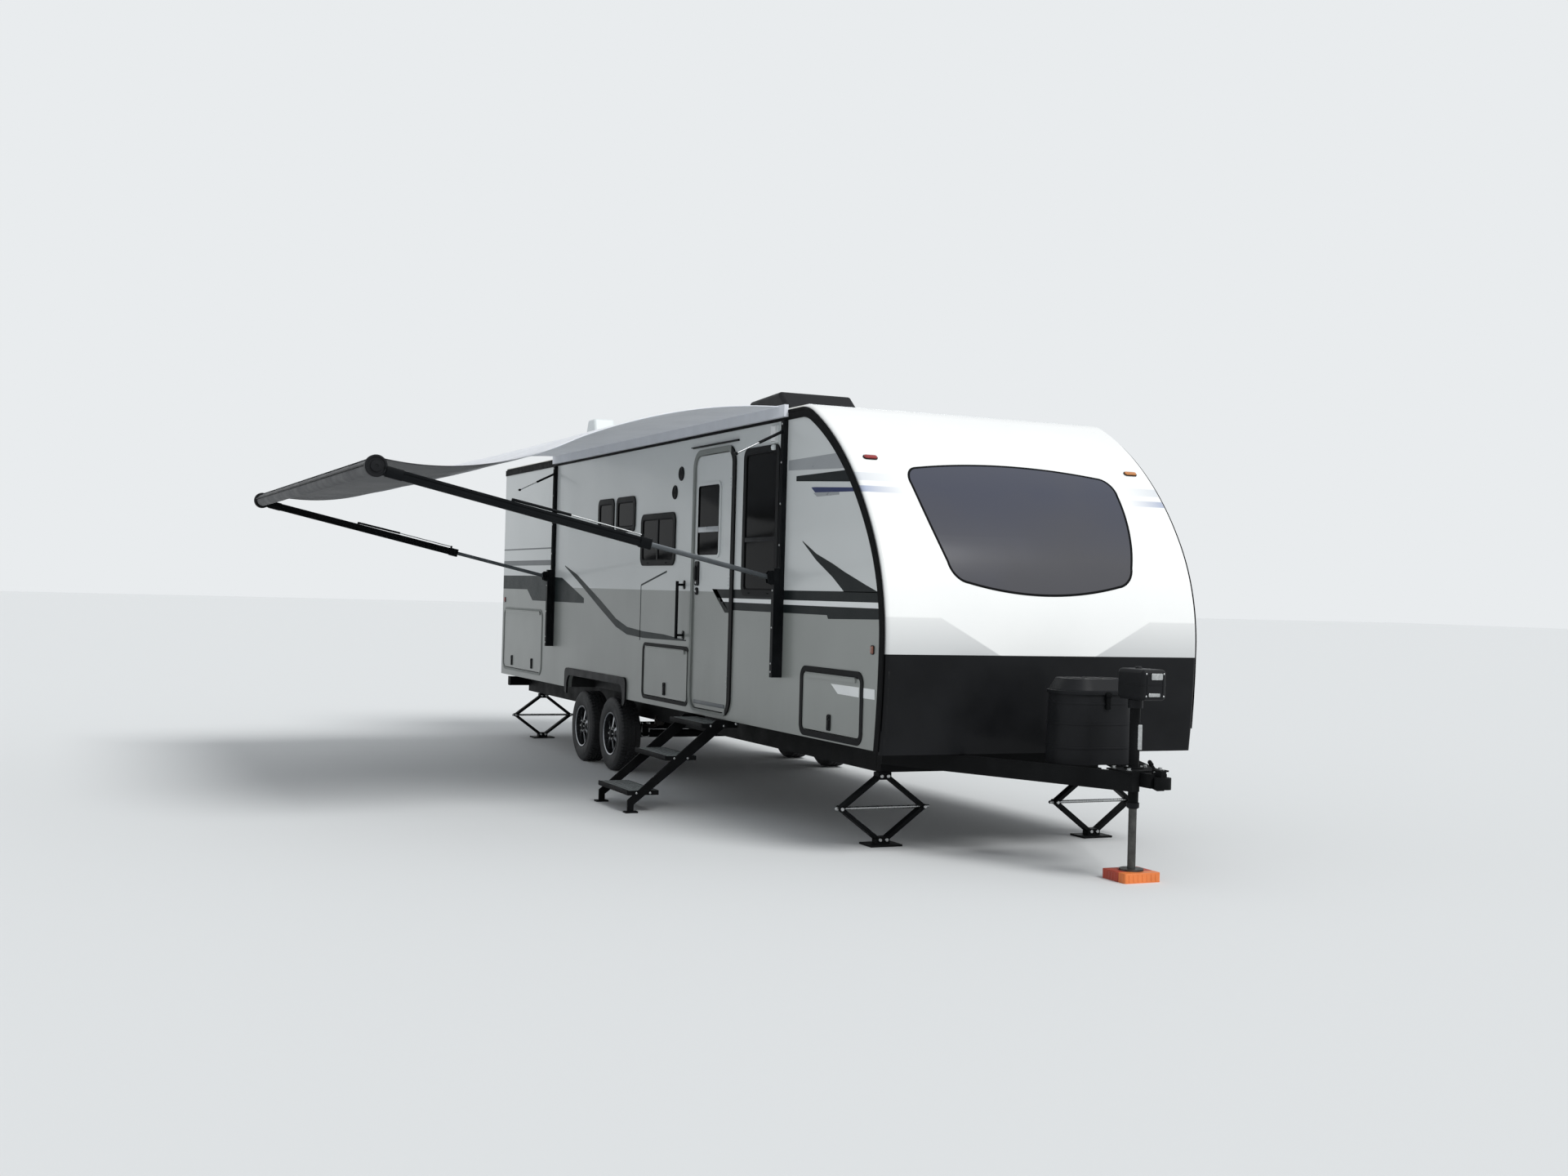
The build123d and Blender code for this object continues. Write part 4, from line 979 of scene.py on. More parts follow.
def wheelShapes():
    # Per piece: mesh, material, slot. Spokes taper inwards and carry machined faces
    along = np.linspace(0, 1, 9)[:, None]
    reach, half, face = 0.050 + 0.131 * along, 0.017 + 0.008 * along ** 1.6, 0.078 - 0.022 * along ** 0.8
    deep = face - 0.030 + 0.006 * along
    spokes = spokesOf([-half, -half * 0.86, half * 0.86, half, half * 0.80, -half * 0.80],
                      [face - 0.006, face, face, face - 0.006, deep, deep], reach)
    low, high = (face - 0.001)[1:], (face + 0.0012)[1:]
    faces = spokesOf([s * half[1:] for s in (-0.62, -0.58, 0.58, 0.62)], [low, high, high, low], reach[1:])
    angle = (np.arange(6) + 0.5) * pi / 3
    nuts = copies(onAxle(wheelNut, 6),
                  wheelLook["nutCircle"] * np.stack([np.sin(angle), 0 * angle, np.cos(angle)], -1))
    return {"tyre_tread": (tyreShape(), "tyreRubber", "tyre", 30),
            "alloy": (joined([onAxle(barrel, 96, True), onAxle(hub, 60)] + spokes), "lacqueredAlloy",
                      "alloy_dark", 40),
            "alloy_faces": (joined([onAxle(rimLip, 96, True)] + faces), "machinedAlloy", "alloy_dark", 40),
            "hub_cap": (onAxle(hubCap, 40), "mouldedBlack", "alloy_dark", 35),
            "brake_drum": (onAxle(drum, 60, True), "castAluminium", "chassis_black", 35),
            "wheel_nuts": (nuts, "zincSteel", "bright_steel", 35)}


def addWheels():
    shapes = wheelShapes()
    for label, x, side in wheels:
        made = {}
        for name, ((points, faces), material, slot, smooth) in shapes.items():
            placed = points * (1, side, 1) + (x, side * wheelLook["y"], wheelLook["radius"])
            made[name] = makePiece(f"{name}_{label}", (placed, faces), material, f"wheel_{label}", smooth)
        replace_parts(made["tyre_tread"], f"tyre_{label}")
        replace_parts(made["alloy"], f"rim_{label}")


addWheels()
print("wheels mounted")

# Roof fittings: x and y from and to of the unit, the vent hood and the low vent; the flanges' width and
# height and how far in their screws start; the stays under a pipe's cap as reach, foot, top and thickness;
# louvres by height and x; two pipes
roofLook = dict(spots=((-5.490, -4.470, -0.350, 0.350), (-7.900, -7.620, -1.070, -0.850),
                       (-3.700, -3.300, -0.200, 0.200)),
                flange=(0.036, 0.006), screwIn=0.04, stays=(0.026, 0.050, 0.090, 0.006),
                slats=(3.120, 3.270, 8), slatX=(-5.290, -4.880), pipes=((-6.60, 0.55), (-9.30, -0.30)),
                pipe=((0.028, 0), (0.090, 0), (0.090, 0.004), (0.034, 0.012), (0.030, 0.070), (0.028, 0.070)),
                pipeCap=((0.002, 0.110), (0.030, 0.106), (0.056, 0.090), (0.058, 0.078), (0.054, 0.078),
                         (0.030, 0.084), (0.002, 0.086)),
                bead=((-0.006, 0.006), (0.004, 0.008), (0.014, 0.004), (0.022, 0.0), (-0.006, 0.0)),
                pipeBead=((0.086, 0), (0.088, 0.008), (0.100, 0.006), (0.108, 0)), grilleX=(-5.300, -4.860))


def louvre(origin, side, rise, out, *size):
    # A thin slat on a side face that leans outwards to its
    # foot; rise and out are the sine and cosine of its lean
    return softSlab(seat(origin, xAxis, (0, -side * out, rise), (0, side * rise, out)), *size)


def addRoofFittings():
    # Each fitting has a flange with screws and a bead of lap sealant round it
    look, flanges, beads, screws, slats, pipes = roofLook, [], [], [], [], []
    (wide, high), inset = look["flange"], look["screwIn"]
    for a, b, c, d in look["spots"]:
        place, out = topSeat((a + b) / 2, (c + d) / 2, roofZ), wide / 2
        flanges.append(ringFrame(place, b - a, d - c, 0.012, lip(wide, high, 0.002)))
        beads.append(ringFrame(place, b - a + 2 * wide, d - c + 2 * wide, 0.040, look["bead"]))
        xs, ys = np.linspace(a + inset, b - inset, 5), np.linspace(c + inset, d - inset, 4)
        screws += [(x, y, roofZ + high) for x in xs for y in (c - out, d + out)]
        screws += [(x, y, roofZ + high) for y in ys for x in (a - out, b + out)]
    reach, low, high, thick = look["stays"]
    for x, y in look["pipes"]:
        foot = (x, y, roofZ)
        pipes += [lathe(look["pipe"], foot, zAxis, 32, True), lathe(look["pipeCap"], foot, zAxis, 32)]
        for t in (0.5, 2.6, 4.7):
            a, b = x + reach * cos(t), y + reach * sin(t)
            pipes.append(bar((a, b, roofZ + low), (a, b, roofZ + high), thick, thick, xAxis, 0.001))
        beads.append(lathe(look["pipeBead"], foot, zAxis, 32, True))
    (x0, x1, _, half), (low, high, count) = look["spots"][0], look["slats"]
    middle, length = sum(look["slatX"]) / 2, look["slatX"][1] - look["slatX"][0]
    for z in np.linspace(low, high, count):
        for side in (-1, 1):
            spot = (middle, side * (half + 0.001), z)
            slats.append(louvre(spot, side, 0.87, 0.5, length, 0.016, 0.003, 0.004, 0.0015, -0.004, 3))
    slats += [softSlab(facing((x0, y, 3.155), -1, "x"), 0.012, 0.150, 0.003, 0.010, 0.003, perCorner=3)
              for y in np.linspace(-0.27, 0.27, 16)]
    slats += [ringFrame(facing((middle, side * half, (low + high) / 2), side), length + 0.030,
                        high - low + 0.040, 0.012, lip(0.012, 0.008)) for side in (-1, 1)]
    x0, x1 = look["grilleX"]
    slats += [bar((x0, y, 3.4115), (x1, y, 3.4325), 0.060, 0.007, zAxis, 0.003) for y in (-0.22, 0.0, 0.22)]
    makePiece("unit_louvres", slats, "mouldedBlack")
    (a, b, c, d), heights = look["spots"][1], np.linspace(roofZ + 0.05, roofZ + 0.20, 6)
    rib = (0.012, 0.003, 0.008, 0.003, 0.0, 3)
    ribs = [softSlab(facing(((a + b) / 2, c, z), -1), b - a - 0.10, *rib) for z in heights]
    ribs += [softSlab(facing((a, (c + d) / 2, z), -1, "x"), d - c - 0.08, *rib) for z in heights]
    a, b, c, d = look["spots"][2]
    ribs += [softSlab(topSeat((a + b) / 2, y, 3.140), b - a - 0.12, 0.018, 0.004, 0.004, 0.002, perCorner=3)
             for y in (-0.10, -0.03, 0.04, 0.11)]
    makePiece("vent_ribs", ribs + pipes, "mouldedWhite")
    makePiece("roof_flanges", flanges, "powderCoatBlack")
    makePiece("lap_sealant", beads, "lapSealant", smooth=60)
    joints, reach = (noseLine(0)[0, 0], rearX + 0.030), halfWidth - 0.035
    strips = [bar((x, -reach, roofZ), (x, reach, roofZ), 0.040, 0.005, zAxis, 0.002) for x in joints]
    makePiece("roof_joint_strips", strips, "anodisedAluminium")
    screws += [(x, y, roofZ + 0.0025) for y in np.linspace(-1.15, 1.15, 16) for x in joints]
    makePiece("roof_screws", domes(screws, 0.005, 0.002, zAxis, 8), "zincSteel")


addRoofFittings()
print("roof fitted")

# Lamps on bezels: tail lamp's y, z and size; clearance lamps' y, z; side markers, porch lamp and its sensor
# as x, z. The two small lamps are a frame, its lip, then the lens's depth, bars and whether they stand.
lampLook = dict(tail=(1.010, 0.980, 0.124, 0.144), clearance=(1.060, 2.632),
                markers=((-1.165, 1.350), (-10.310, 1.545)), porch=(-2.790, 2.873), sensor=(-2.797, 2.773),
                marker=(0.040, 0.052, 0.010, (0.004, 0.007, 0.002), 0.013, 3, False),
                roofLamp=(0.100, 0.034, 0.016, (0.005, 0.008, 0.002), 0.016, 5, True),
                porchPlate=(0.100, 0.134, 0.016, 0.014), porchLens=(0.086, 0.118, 0.014),
                sensorBody=(0.050, 0.040, 0.010, 0.016, 0.005), sensorOut=0.012)


def lensOf(place, width, height, radius, deep, ribs, upright=True):
    # A bowed lens with low bars across it
    parts = [pillow(place, width, height, radius,
                    ((0, 0), (0, deep * 0.6), (0.003, deep * 0.9), (0.008, deep)))]
    for k in np.linspace(-0.5, 0.5, ribs + 2)[1:-1]:
        spot = shifted(place, k * (width - 0.02), 0.0) if upright else shifted(place, 0.0, k * (height - 0.02))
        size = (0.0025, height - 0.022) if upright else (width - 0.022, 0.0025)
        parts.append(softSlab(spot, *size, 0.001, deep + 0.0012, 0.001, deep * 0.8, 2))
    return joined(parts)


def addLamps():
    red, amber, deep, clear, bases, white = [], [], [], [], [], []
    y, z, width, height = lampLook["tail"]
    (clearY, clearZ), out = lampLook["clearance"], lampLook["sensorOut"]

    def framed(place, kind, wide, high, radius, edge, *lens):
        # A bezel round a lens that is a millimetre smaller
        bases.append(ringFrame(place, wide, high, radius, lip(*edge)))
        kind.append(lensOf(place, wide - 0.001, high - 0.001, radius - 0.001, *lens))

    for s in (-1, 1):
        place = rearSeat(s * y, z)
        bases.append(ringFrame(place, width, height, 0.024, lip(0.008, 0.016, 0.004)))
        red.append(lensOf(shifted(place, 0, 0.022), width - 0.002, height - 0.046, 0.020, 0.021, 6))
        clear.append(lensOf(shifted(place, 0, -0.052), width - 0.002, 0.038, 0.016, 0.019, 5))
        for kind, spot in zip((deep, red), lampLook["markers"]):
            framed(sideSeat(s, *spot), kind, *lampLook["marker"])
        x, nx, nz = noseAt(clearZ, shellOut)
        place = seat((x, s * clearY, clearZ), yAxis, (-nz, 0, nx), (nx, 0, nz))
        framed(place, red if s < 0 else amber, *lampLook["roofLamp"])
    place = sideSeat(-1, *lampLook["porch"])
    white.append(softSlab(place, *lampLook["porchPlate"]))
    steps = (0, 0.012), (0, 0.028), (0.004, 0.035), (0.012, 0.038)
    clear.append(pillow(place, *lampLook["porchLens"], steps))
    x, z = lampLook["sensor"]
    white.append(softSlab(sideSeat(-1, x, z, out), *lampLook["sensorBody"]))
    eye = (0.014, 0.014), (0.012, 0.022), (0.006, 0.026), (0.001, 0.027)
    white.append(lathe(eye, (x, -halfWidth - out, z), -yAxis, 20))
    for name, parts, material, slot in (
            ("lamp_lens_red", red, "lensRed", "lamp_red"), ("lamp_lens_amber", amber, "lensAmber", "lamp_red"),
            ("marker_lens_amber", deep, "lensDeepAmber", "lamp_red"),
            ("lamp_lens_clear", clear, "lensClear", "vent_white"),
            ("lamp_bezels", bases, "mouldedBlack", "trim_black"),
            ("lamp_bases", white, "mouldedWhite", "vent_white")):
        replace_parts(makePiece(name, parts, material), "lamps")


addLamps()

# Right wall: two round speakers and the grab handle's end plates; left wall:
# the usual service doors of this type, each x, z, width, height, louvres, cap
wallFittings = dict(speakers=((-4.876, 2.533), (-4.732, 2.684)), speakerR=0.060,
                    handle=(-4.600, (1.330, 1.750)), handlePlate=(0.046, 0.074, 0.020, 0.007, 0.003),
                    handleScrew=0.026)
services = ((-5.20, 1.18, 0.50, 0.33, 9, False), (-4.05, 1.05, 0.42, 0.36, 5, False),
            (-8.75, 1.12, 0.20, 0.20, 0, True), (-9.45, 1.05, 0.15, 0.15, 0, True),
            (-9.08, 1.10, 0.34, 0.28, 0, False))


def addWallFittings():
    black, white, caps, r = [], [], [], wallFittings["speakerR"]
    dish = ((0.002, 0), (r, 0), (r, 0.006), (r - 0.006, 0.010), (r - 0.010, 0.008), (r - 0.011, 0.005),
            (0.002, 0.005))
    for x, z in wallFittings["speakers"]:
        black.append(lathe(dish, (x, -halfWidth, z), -yAxis, 40))
        for a in np.linspace(0.010, r - 0.016, 5):
            ring = (a, 0.004), (a, 0.0085), (a + 0.0035, 0.0085), (a + 0.0035, 0.004)
            black.append(lathe(ring, (x, -halfWidth, z), -yAxis, 36, True))
    (x, heights), gap = wallFittings["handle"], wallFittings["handleScrew"]
    plates = [softSlab(sideSeat(-1, x, z), *wallFittings["handlePlate"]) for z in heights]
    makePiece("handle_plates", plates, "powderCoatBlack")
    right, left = [(x, -halfWidth - 0.007, z + d) for z in heights for d in (-gap, gap)], []
    for x, z, width, height, slats, capped in services:
        place = sideSeat(1, x, z)
        white.append(ringFrame(place, width, height, 0.018, lip(0.022, 0.010, 0.004)))
        white.append(softSlab(place, width - 0.004, height - 0.004, 0.016, 0.007, 0.003))
        for k in np.linspace(-0.5, 0.5, slats + 2)[1:-1]:
            spot = (x, halfWidth + 0.008, z + k * (height - 0.03))
            white.append(louvre(spot, 1, 0.8, 0.6, width - 0.06, 0.018, 0.003, 0.004, 0.0015, -0.003, 3))
        left += [(x + a * (width / 2 + 0.011), halfWidth + 0.010, z + b * (height / 2 + 0.011))
                 for a in (-1, 1) for b in (-1, 1)]
        if capped:
            cap = (0.002, 0.016), (0.048, 0.014), (0.054, 0.010), (0.054, 0.004), (0.002, 0.004)
            caps.append(lathe(cap, (x, halfWidth, z), yAxis, 32))
    makePiece("speakers", black, "mouldedBlack")
    makePiece("service_doors", white + caps, "mouldedWhite")
    for label, places, side in (("right", right, -1), ("left", left, 1)):
        makePiece(f"wall_screws_{label}", domes(places, 0.0045, 0.002, side * yAxis, 8), "zincSteel")


addWallFittings()
print("lamps and wall fittings on")

# Gas bottle cover: foot, neck and lid as height, length, width; pressed bands, a rim at the lid, ribs on it
# as half length, width and thickness, latches front and back
coverLook = dict(x=-0.480, foot=(0.676, 0.392, 0.568), neck=(1.118, 0.368, 0.540), bands=(0.780, 0.930, 1.060),
                 lid=(1.130, 0.384, 0.556), dome=1.2125, corner=0.170, rib=(0.10, 0.030, 0.006),
                 ribYs=(-0.13, 0.0, 0.13), latch=(0.193, 1.080),
                 strap=(0.034, 0.110, 0.006, 0.010, 0.003, -0.010),
                 buckle=(0.046, 0.024, 0.005, 0.016, 0.003), buckleUp=0.034)


def addGasCover():
    look, x, parts, latches = coverLook, coverLook["x"], [], []
    foot, neck = np.array(look["foot"]), look["neck"]
    band = (-0.004, -0.009), (0.0025, -0.007), (0.0045, 0.0), (0.0025, 0.007), (-0.004, 0.009)
    rim = (-0.004, -0.015), (0.004, -0.014), (0.006, -0.004), (0.006, 0.006), (0.0, 0.010), (-0.004, 0.010)
    for z in look["bands"]:
        _, length, width = foot + (z - foot[0]) / (neck[0] - foot[0]) * (neck - foot)
        parts.append(ringFrame(topSeat(x, 0, z), length, width, look["corner"], band, 14))
    z, length, width = look["lid"]
    parts.append(ringFrame(topSeat(x, 0, z), length, width, look["corner"] + 0.002, rim, 14))
    z, (reach, *size) = look["dome"], look["rib"]
    parts += [bar((x - reach, y, z), (x + reach, y, z), *size, zAxis, 0.0025) for y in look["ribYs"]]
    makePiece("cover_bands", parts, "mouldedBlack")
    reach, z = look["latch"]
    for s in (-1, 1):
        face = facing((x + s * reach, 0, z), s, "x")
        latches.append(softSlab(face, *look["strap"]))
        latches.append(softSlab(shifted(face, 0, look["buckleUp"]), *look["buckle"]))
    makePiece("cover_latches", latches, "rubberTrim")


addGasCover()

# Tongue jack: its head's front x and lower and upper z, the guide strip, the nuts on its plate, the pad's
# half sizes, height and split, the front panel, two switches as y, distance from the panel's end and slab,
# and the seam as x and frame
jackLook = dict(head=(0.192, 1.112, 1.300), strip=(0.0285, 0.014, 0.8775, 0.155), columnR=0.032,
                nuts=(0.048, 0.697), pad=(0.120, 0.130, 0.060, 0.045), panel=(0.110, 0.118, 0.012), capX=0.02,
                upperSwitch=(0.012, 0.043, 0.082, 0.040, 0.008, 0.005, 0.002),
                seam=(0.057, 0.270, 0.176, 0.026),
                lowerSwitch=(-0.006, 0.034, 0.084, 0.022, 0.006, 0.005, 0.002))


def addJackDetails():
    # Front panel with two pale switch plates and screws,
    # crank cap, side seam, collar, foot ring and guide strip
    (front, low, high), r = jackLook["head"], jackLook["columnR"]
    (upY, down, *upper), (lowY, rise, *lower), (seamX, *outline) = (jackLook[k] for k in (
        "upperSwitch", "lowerSwitch", "seam"))
    cap = (0.002, 0.012), (0.016, 0.012), (0.020, 0.008), (0.022, 0.0), (0.002, 0.0)
    seam = (-0.002, -0.003), (0.0018, -0.002), (0.0018, 0.002), (-0.002, 0.003)
    collar = (r, 0), (0.046, 0), (0.046, 0.050), (0.040, 0.056), (r, 0.056)
    ring = (0.0322, 0), (0.0385, 0), (0.0385, 0.030), (0.0322, 0.030)
    black = [ringFrame(facing((front, 0, (low + high) / 2), 1, "x"), *jackLook["panel"],
                       lip(0.006, 0.0035, 0.0015)),
             lathe(cap, (jackLook["capX"], 0, high), zAxis, 28),
             ringFrame(topSeat(seamX, 0, (low + high) / 2), *outline, seam),
             lathe(collar, (0, 0, 1.056), zAxis, 36, True), lathe(ring, (0, 0, 0.445), zAxis, 36, True)]
    out, y, z, tall = jackLook["strip"]
    pale = [softSlab(facing((front, upY, high - down), 1, "x"), *upper),
            softSlab(facing((front, lowY, low + rise), 1, "x"), *lower),
            softSlab(facing((out, y, z), 1, "x"), 0.030, tall, 0.004, 0.010, 0.003)]
    heads = [(front + 0.0005, a * 0.064, b) for a in (-1, 1) for b in (low + 0.026, high - 0.026)]
    nut = lathe(((0.009, 0), (0.009, 0.007), (0.007, 0.008), (0.001, 0.008)), (0, 0, 0), zAxis, 6)
    r, z = jackLook["nuts"]
    around = np.arange(3) * 2 * pi / 3 + 0.5
    nuts = copies(nut, np.stack([r * np.cos(around), r * np.sin(around), np.full(3, z)], -1))
    makePiece("jack_fittings", black, "mouldedBlack")
    makePiece("jack_plates", pale, "zincSteel")
    makePiece("jack_bolts", [domes(heads, 0.0055, 0.003, xAxis, 10), nuts], "zincSteel")


def addPad():
    # Two interlocking blocks with studded edges, orange in front; the red of the rear block is painted shade of
    # the orange
    halfX, halfY, top, split = jackLook["pad"]
    stud = (0.011, top - 0.016, 0.002, 0.002, 0.001, 0.0, 2)
    # the rear block's red is painted shade, standing in for the orange's shaded side
    for name, material, a, b, s in (("pad_rear", "paintedShadePolypropylene", -halfX, split, -1),
                                    ("pad_front", "orangePolypropylene", split, halfX, 1)):
        parts = [softSlab(topSeat((a + b) / 2, 0, 0), b - a, 2 * halfY, 0.010, top, 0.003)]
        parts += [softSlab(facing((s * halfX, y, top / 2), s, "x"), *stud)
                  for y in np.linspace(-halfY, halfY, 9)[1:-1]]
        parts += [softSlab(facing((x, side * halfY, top / 2), side), *stud)
                  for x in np.arange(a + 0.020, b - 0.010, 0.030) for side in (-1, 1)]
        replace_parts(makePiece(name, parts, material), "jack_pad")


addJackDetails()
addPad()
print("tongue fitted")

# Entry steps: tread plates at y, z with raised grips, a rolled nosing along each outer edge, bolts through
# the sides half apart and down from a tread; heads as radius and height
stepLook = dict(x=(-4.330, -3.620), treads=((-1.290, 0.672), (-1.585, 0.425), (-1.885, 0.165)), deep=0.250,
                inset=0.018, grips=(15, 5), knee=(-1.130, 0.672), grip=(0.0085, 0.0045),
                nosing=(0.010, 0.036), bolt=(0.010, 0.006), boltAt=(0.055, 0.018), pivot=(0.014, 0.008))


def addStepDetails():
    (x0, x1), (across, along), inset = stepLook["x"], stepLook["grips"], stepLook["inset"]
    apart, down = stepLook["boltAt"]
    length, deep, middle = x1 - x0 - 2 * inset, stepLook["deep"] - 2 * inset, (x0 + x1) / 2
    gx, gy = np.meshgrid(np.linspace(-0.45, 0.45, across) * length, np.linspace(-0.40, 0.40, along) * deep)
    plates, grips, nosings, bolts = [], [], [], []
    for y, z in stepLook["treads"]:
        plates.append(softSlab(topSeat(middle, y, z), length, deep, 0.006, 0.003, 0.0015))
        spots = np.stack([middle + gx.ravel(), y + gy.ravel(), np.full(gx.size, z + 0.003)], -1)
        grips.append(domes(spots, *stepLook["grip"], zAxis, 8))
        edge = y - stepLook["deep"] / 2
        ends = [(x, edge, z - 0.013) for x in (x0 + 0.004, x1 - 0.004)]
        nosings.append(bar(*ends, *stepLook["nosing"], zAxis))
        for x, s in ((x0, -1), (x1, 1)):
            pair = [(x, y + d, z - down) for d in (-apart, apart)]
            bolts.append(domes(pair, *stepLook["bolt"], s * xAxis, 6))
    bolts += [domes([(x, *stepLook["knee"])], *stepLook["pivot"], s * xAxis, 12)
              for x, s in ((x0, -1), (x1, 1))]
    makePiece("step_plates", plates, "wornTreadEnamel")
    makePiece("step_grips", grips, "wornTreadEnamel")
    makePiece("step_nosings", nosings, "chassisEnamel")
    makePiece("step_bolts", bolts, "zincSteel")


addStepDetails()

# Scissor stabilisers: a threaded screw between the elbows with a drive nut outside; elbow and pins as y
# from the middle, z
standLook = dict(xs=(-9.900, -1.665), y=0.860, elbow=(0.318, 0.258), pins=((0.025, 0.040), (0.025, 0.475)),
                 pitch=0.012, pin=((0.002, 0.046), (0.010, 0.046), (0.013, 0.043), (0.013, 0.037),
                                   (0.008, 0.037)))


def addStabiliserDetails():
    # The thread's radius rises and falls in steps of a quarter pitch
    middle, (out, z) = standLook["y"], standLook["elbow"]
    low, high = middle - out - 0.048, middle + out + 0.010
    steps = np.arange(low, high, standLook["pitch"] / 4)
    radius = 0.0105 + 0.0018 * np.resize([0, 1, 1, 0], len(steps))
    thread = [(0.002, low - 0.001), *zip(radius, steps), (0.002, high)]
    nut = (0.003, high), (0.0135, high), (0.0135, high + 0.020), (0.0105, high + 0.024), (0.003, high + 0.024)
    half = np.array(standLook["pin"])
    bolt = np.concatenate([half * (1, -1), half[::-1]])
    places = [(s * y, h) for y, h in (standLook["elbow"], *standLook["pins"]) for s in (-1, 1)]
    screws, pins = [], []
    for x in standLook["xs"]:
        for side in (-1, 1):
            screws += [lathe(thread, (x, 0, z), side * yAxis, 12), lathe(nut, (x, 0, z), side * yAxis, 6)]
            pins += [lathe(bolt, (x, side * (middle + y), h), xAxis, 14) for y, h in places]
    makePiece("stabiliser_screws", screws, "zincSteel")
    makePiece("stabiliser_pins", pins, "zincSteel")


addStabiliserDetails()

# Springs: the seat's top, the axle tube's height and radius, the spring's reach from its axle, the
# shackle's two bolts, the U-bolts' place along, half width, rod radius and rise over the seat, the seat's
# plate as a slab, and the rocker between the axles as x, z with its bolts
springLook = dict(y=0.860, top=0.426, tube=(0.345, 0.038), span=0.400, shackle=(0.478, 0.516), shackleZ=0.500,
                  uBolt=(0.030, 0.036, 0.006, 0.024), seatPlate=(0.110, 0.090, 0.006, 0.008, 0.002),
                  rocker=((-0.085, 0.462), (0.085, 0.462), (0.078, 0.500), (0.030, 0.548), (-0.030, 0.548),
                          (-0.078, 0.500)),
                  rockerBolts=((-0.062, 0.484), (0.062, 0.484), (0.0, 0.524)))


def addSpringDetails():
    # Two square U-bolts with a top plate at each axle, shackle
    # plates at the spring ends, the rocker, and all their bolts
    look, top, steel, plates = springLook, springLook["top"], [], []
    axles = sorted({x for _, x, _ in wheels})
    middle = sum(axles) / 2
    nut = (0.007, 0), (0.011, 0), (0.011, 0.010), (0.007, 0.010)
    (tubeZ, tubeR), (along, half, rod, over) = look["tube"], look["uBolt"]
    foot = tubeZ - sqrt(tubeR ** 2 - along ** 2) - rod
    for side in (-1, 1):
        y = side * look["y"]
        for x in axles:
            plates.append(softSlab(topSeat(x, y, top), *look["seatPlate"]))
            for at in (x - along, x + along):
                corners = [(at, y + dy, z) for dy, z in (
                    (-half, top + over), (-half, foot), (half, foot), (half, top + over))]
                steel.append(tube(bent(corners, 0.018), rod, xAxis, 10))
                steel += [lathe(nut, (at, y + dy, top + 0.008), zAxis, 6, True) for dy in (-half, half)]
        for x in (axles[1] + look["span"], axles[0] - look["span"]):
            outline = roundedRect(0.052, 0.090, 0.024, 5) + (0, look["shackleZ"])
            plates += [plateOf(outline, facing((x, y + dy, 0), 1), 0.006, -0.003) for dy in (-0.034, 0.034)]
            steel += [pin((x, y, z), yAxis, 0.011, 0.046, 6) for z in look["shackle"]]
        plates += [plateOf(look["rocker"], facing((middle, y + dy, 0), 1), 0.008, -0.004)
                   for dy in (-0.036, 0.036)]
        steel += [pin((middle + dx, y, z), yAxis, 0.012, 0.050, 6) for dx, z in look["rockerBolts"]]
    makePiece("spring_plates", plates, "springSteel")
    makePiece("spring_bolts", steel, "zincSteel")


addSpringDetails()

# Below the floor: the gas pipe as x from and to, y, z with its clips on the right rail, and the waste pipe
# as x, y, z, radius with its valve and cap on the left
underLook = dict(gas=(-9.60, -1.90, -0.795, 0.640), gasTop=0.692, gasBends=((-6.2, -0.010), (-3.0, 0)),
                 clipGap=0.9, waste=(-8.900, 0.700, 0.560, 0.045), wasteFrom=0.35, wasteFall=0.02, floor=0.694)


def addUnderside():
    x0, x1, y, z = underLook["gas"]
    bends = [(x, y + dy, z) for x, dy in underLook["gasBends"]]
    pipe = bent([(x0, y, underLook["gasTop"]), (x0, y, z), *bends, (x1, y, z)], 0.04)
    clips = [bar((x, y - 0.030, z + 0.012), (x, y + 0.022, z + 0.012), 0.022, 0.004, xAxis, 0.001)
             for x in np.arange(x0 + 0.5, x1, underLook["clipGap"])]
    makePiece("gas_pipe", tube(pipe, 0.010, (0.1, 1, 0.1), 12), "zincSteel")
    makePiece("pipe_clips", clips, "zincSteel")
    x, y, z, r = underLook["waste"]
    floor, start, end = underLook["floor"], underLook["wasteFrom"], z - underLook["wasteFall"]
    cap = (0.004, 0), (r + 0.012, 0), (r + 0.014, 0.006), (r + 0.014, 0.030), (r + 0.006, 0.034), (0.004, 0.034)
    drop = bent([(x, start, floor), (x, start, z), (x, y, z), (x, y + 0.36, end)], 0.07)
    parts = [tube(drop, r, (1, 0.1, 0.1), 24), lathe(cap, (x, y + 0.355, end), yAxis, 32),
             softSlab(facing((x, 0.52, z), 1), 0.150, 0.160, 0.012, 0.030, 0.004, -0.015),
             tube(halved((x + 0.06, 0.535, z + 0.02), (x + 0.22, 0.535, z + 0.02)), 0.006, zAxis, 10)]
    parts += [bar((a, 0.62, z), (a, 0.62, floor), 0.020, 0.004, yAxis, 0.001)
              for a in (x - r - 0.002, x + r + 0.002)]
    makePiece("waste_pipe", parts, "mouldedBlack")


addUnderside()

# Rear bumper: plugged ends; on the rear wall a blank plate on its bracket with a small lamp over it, as y,
# z and size
bumperLook = dict(middle=(-0.060, 0.610), y=1.100, plate=(0.520, 0.800, 0.305, 0.152))


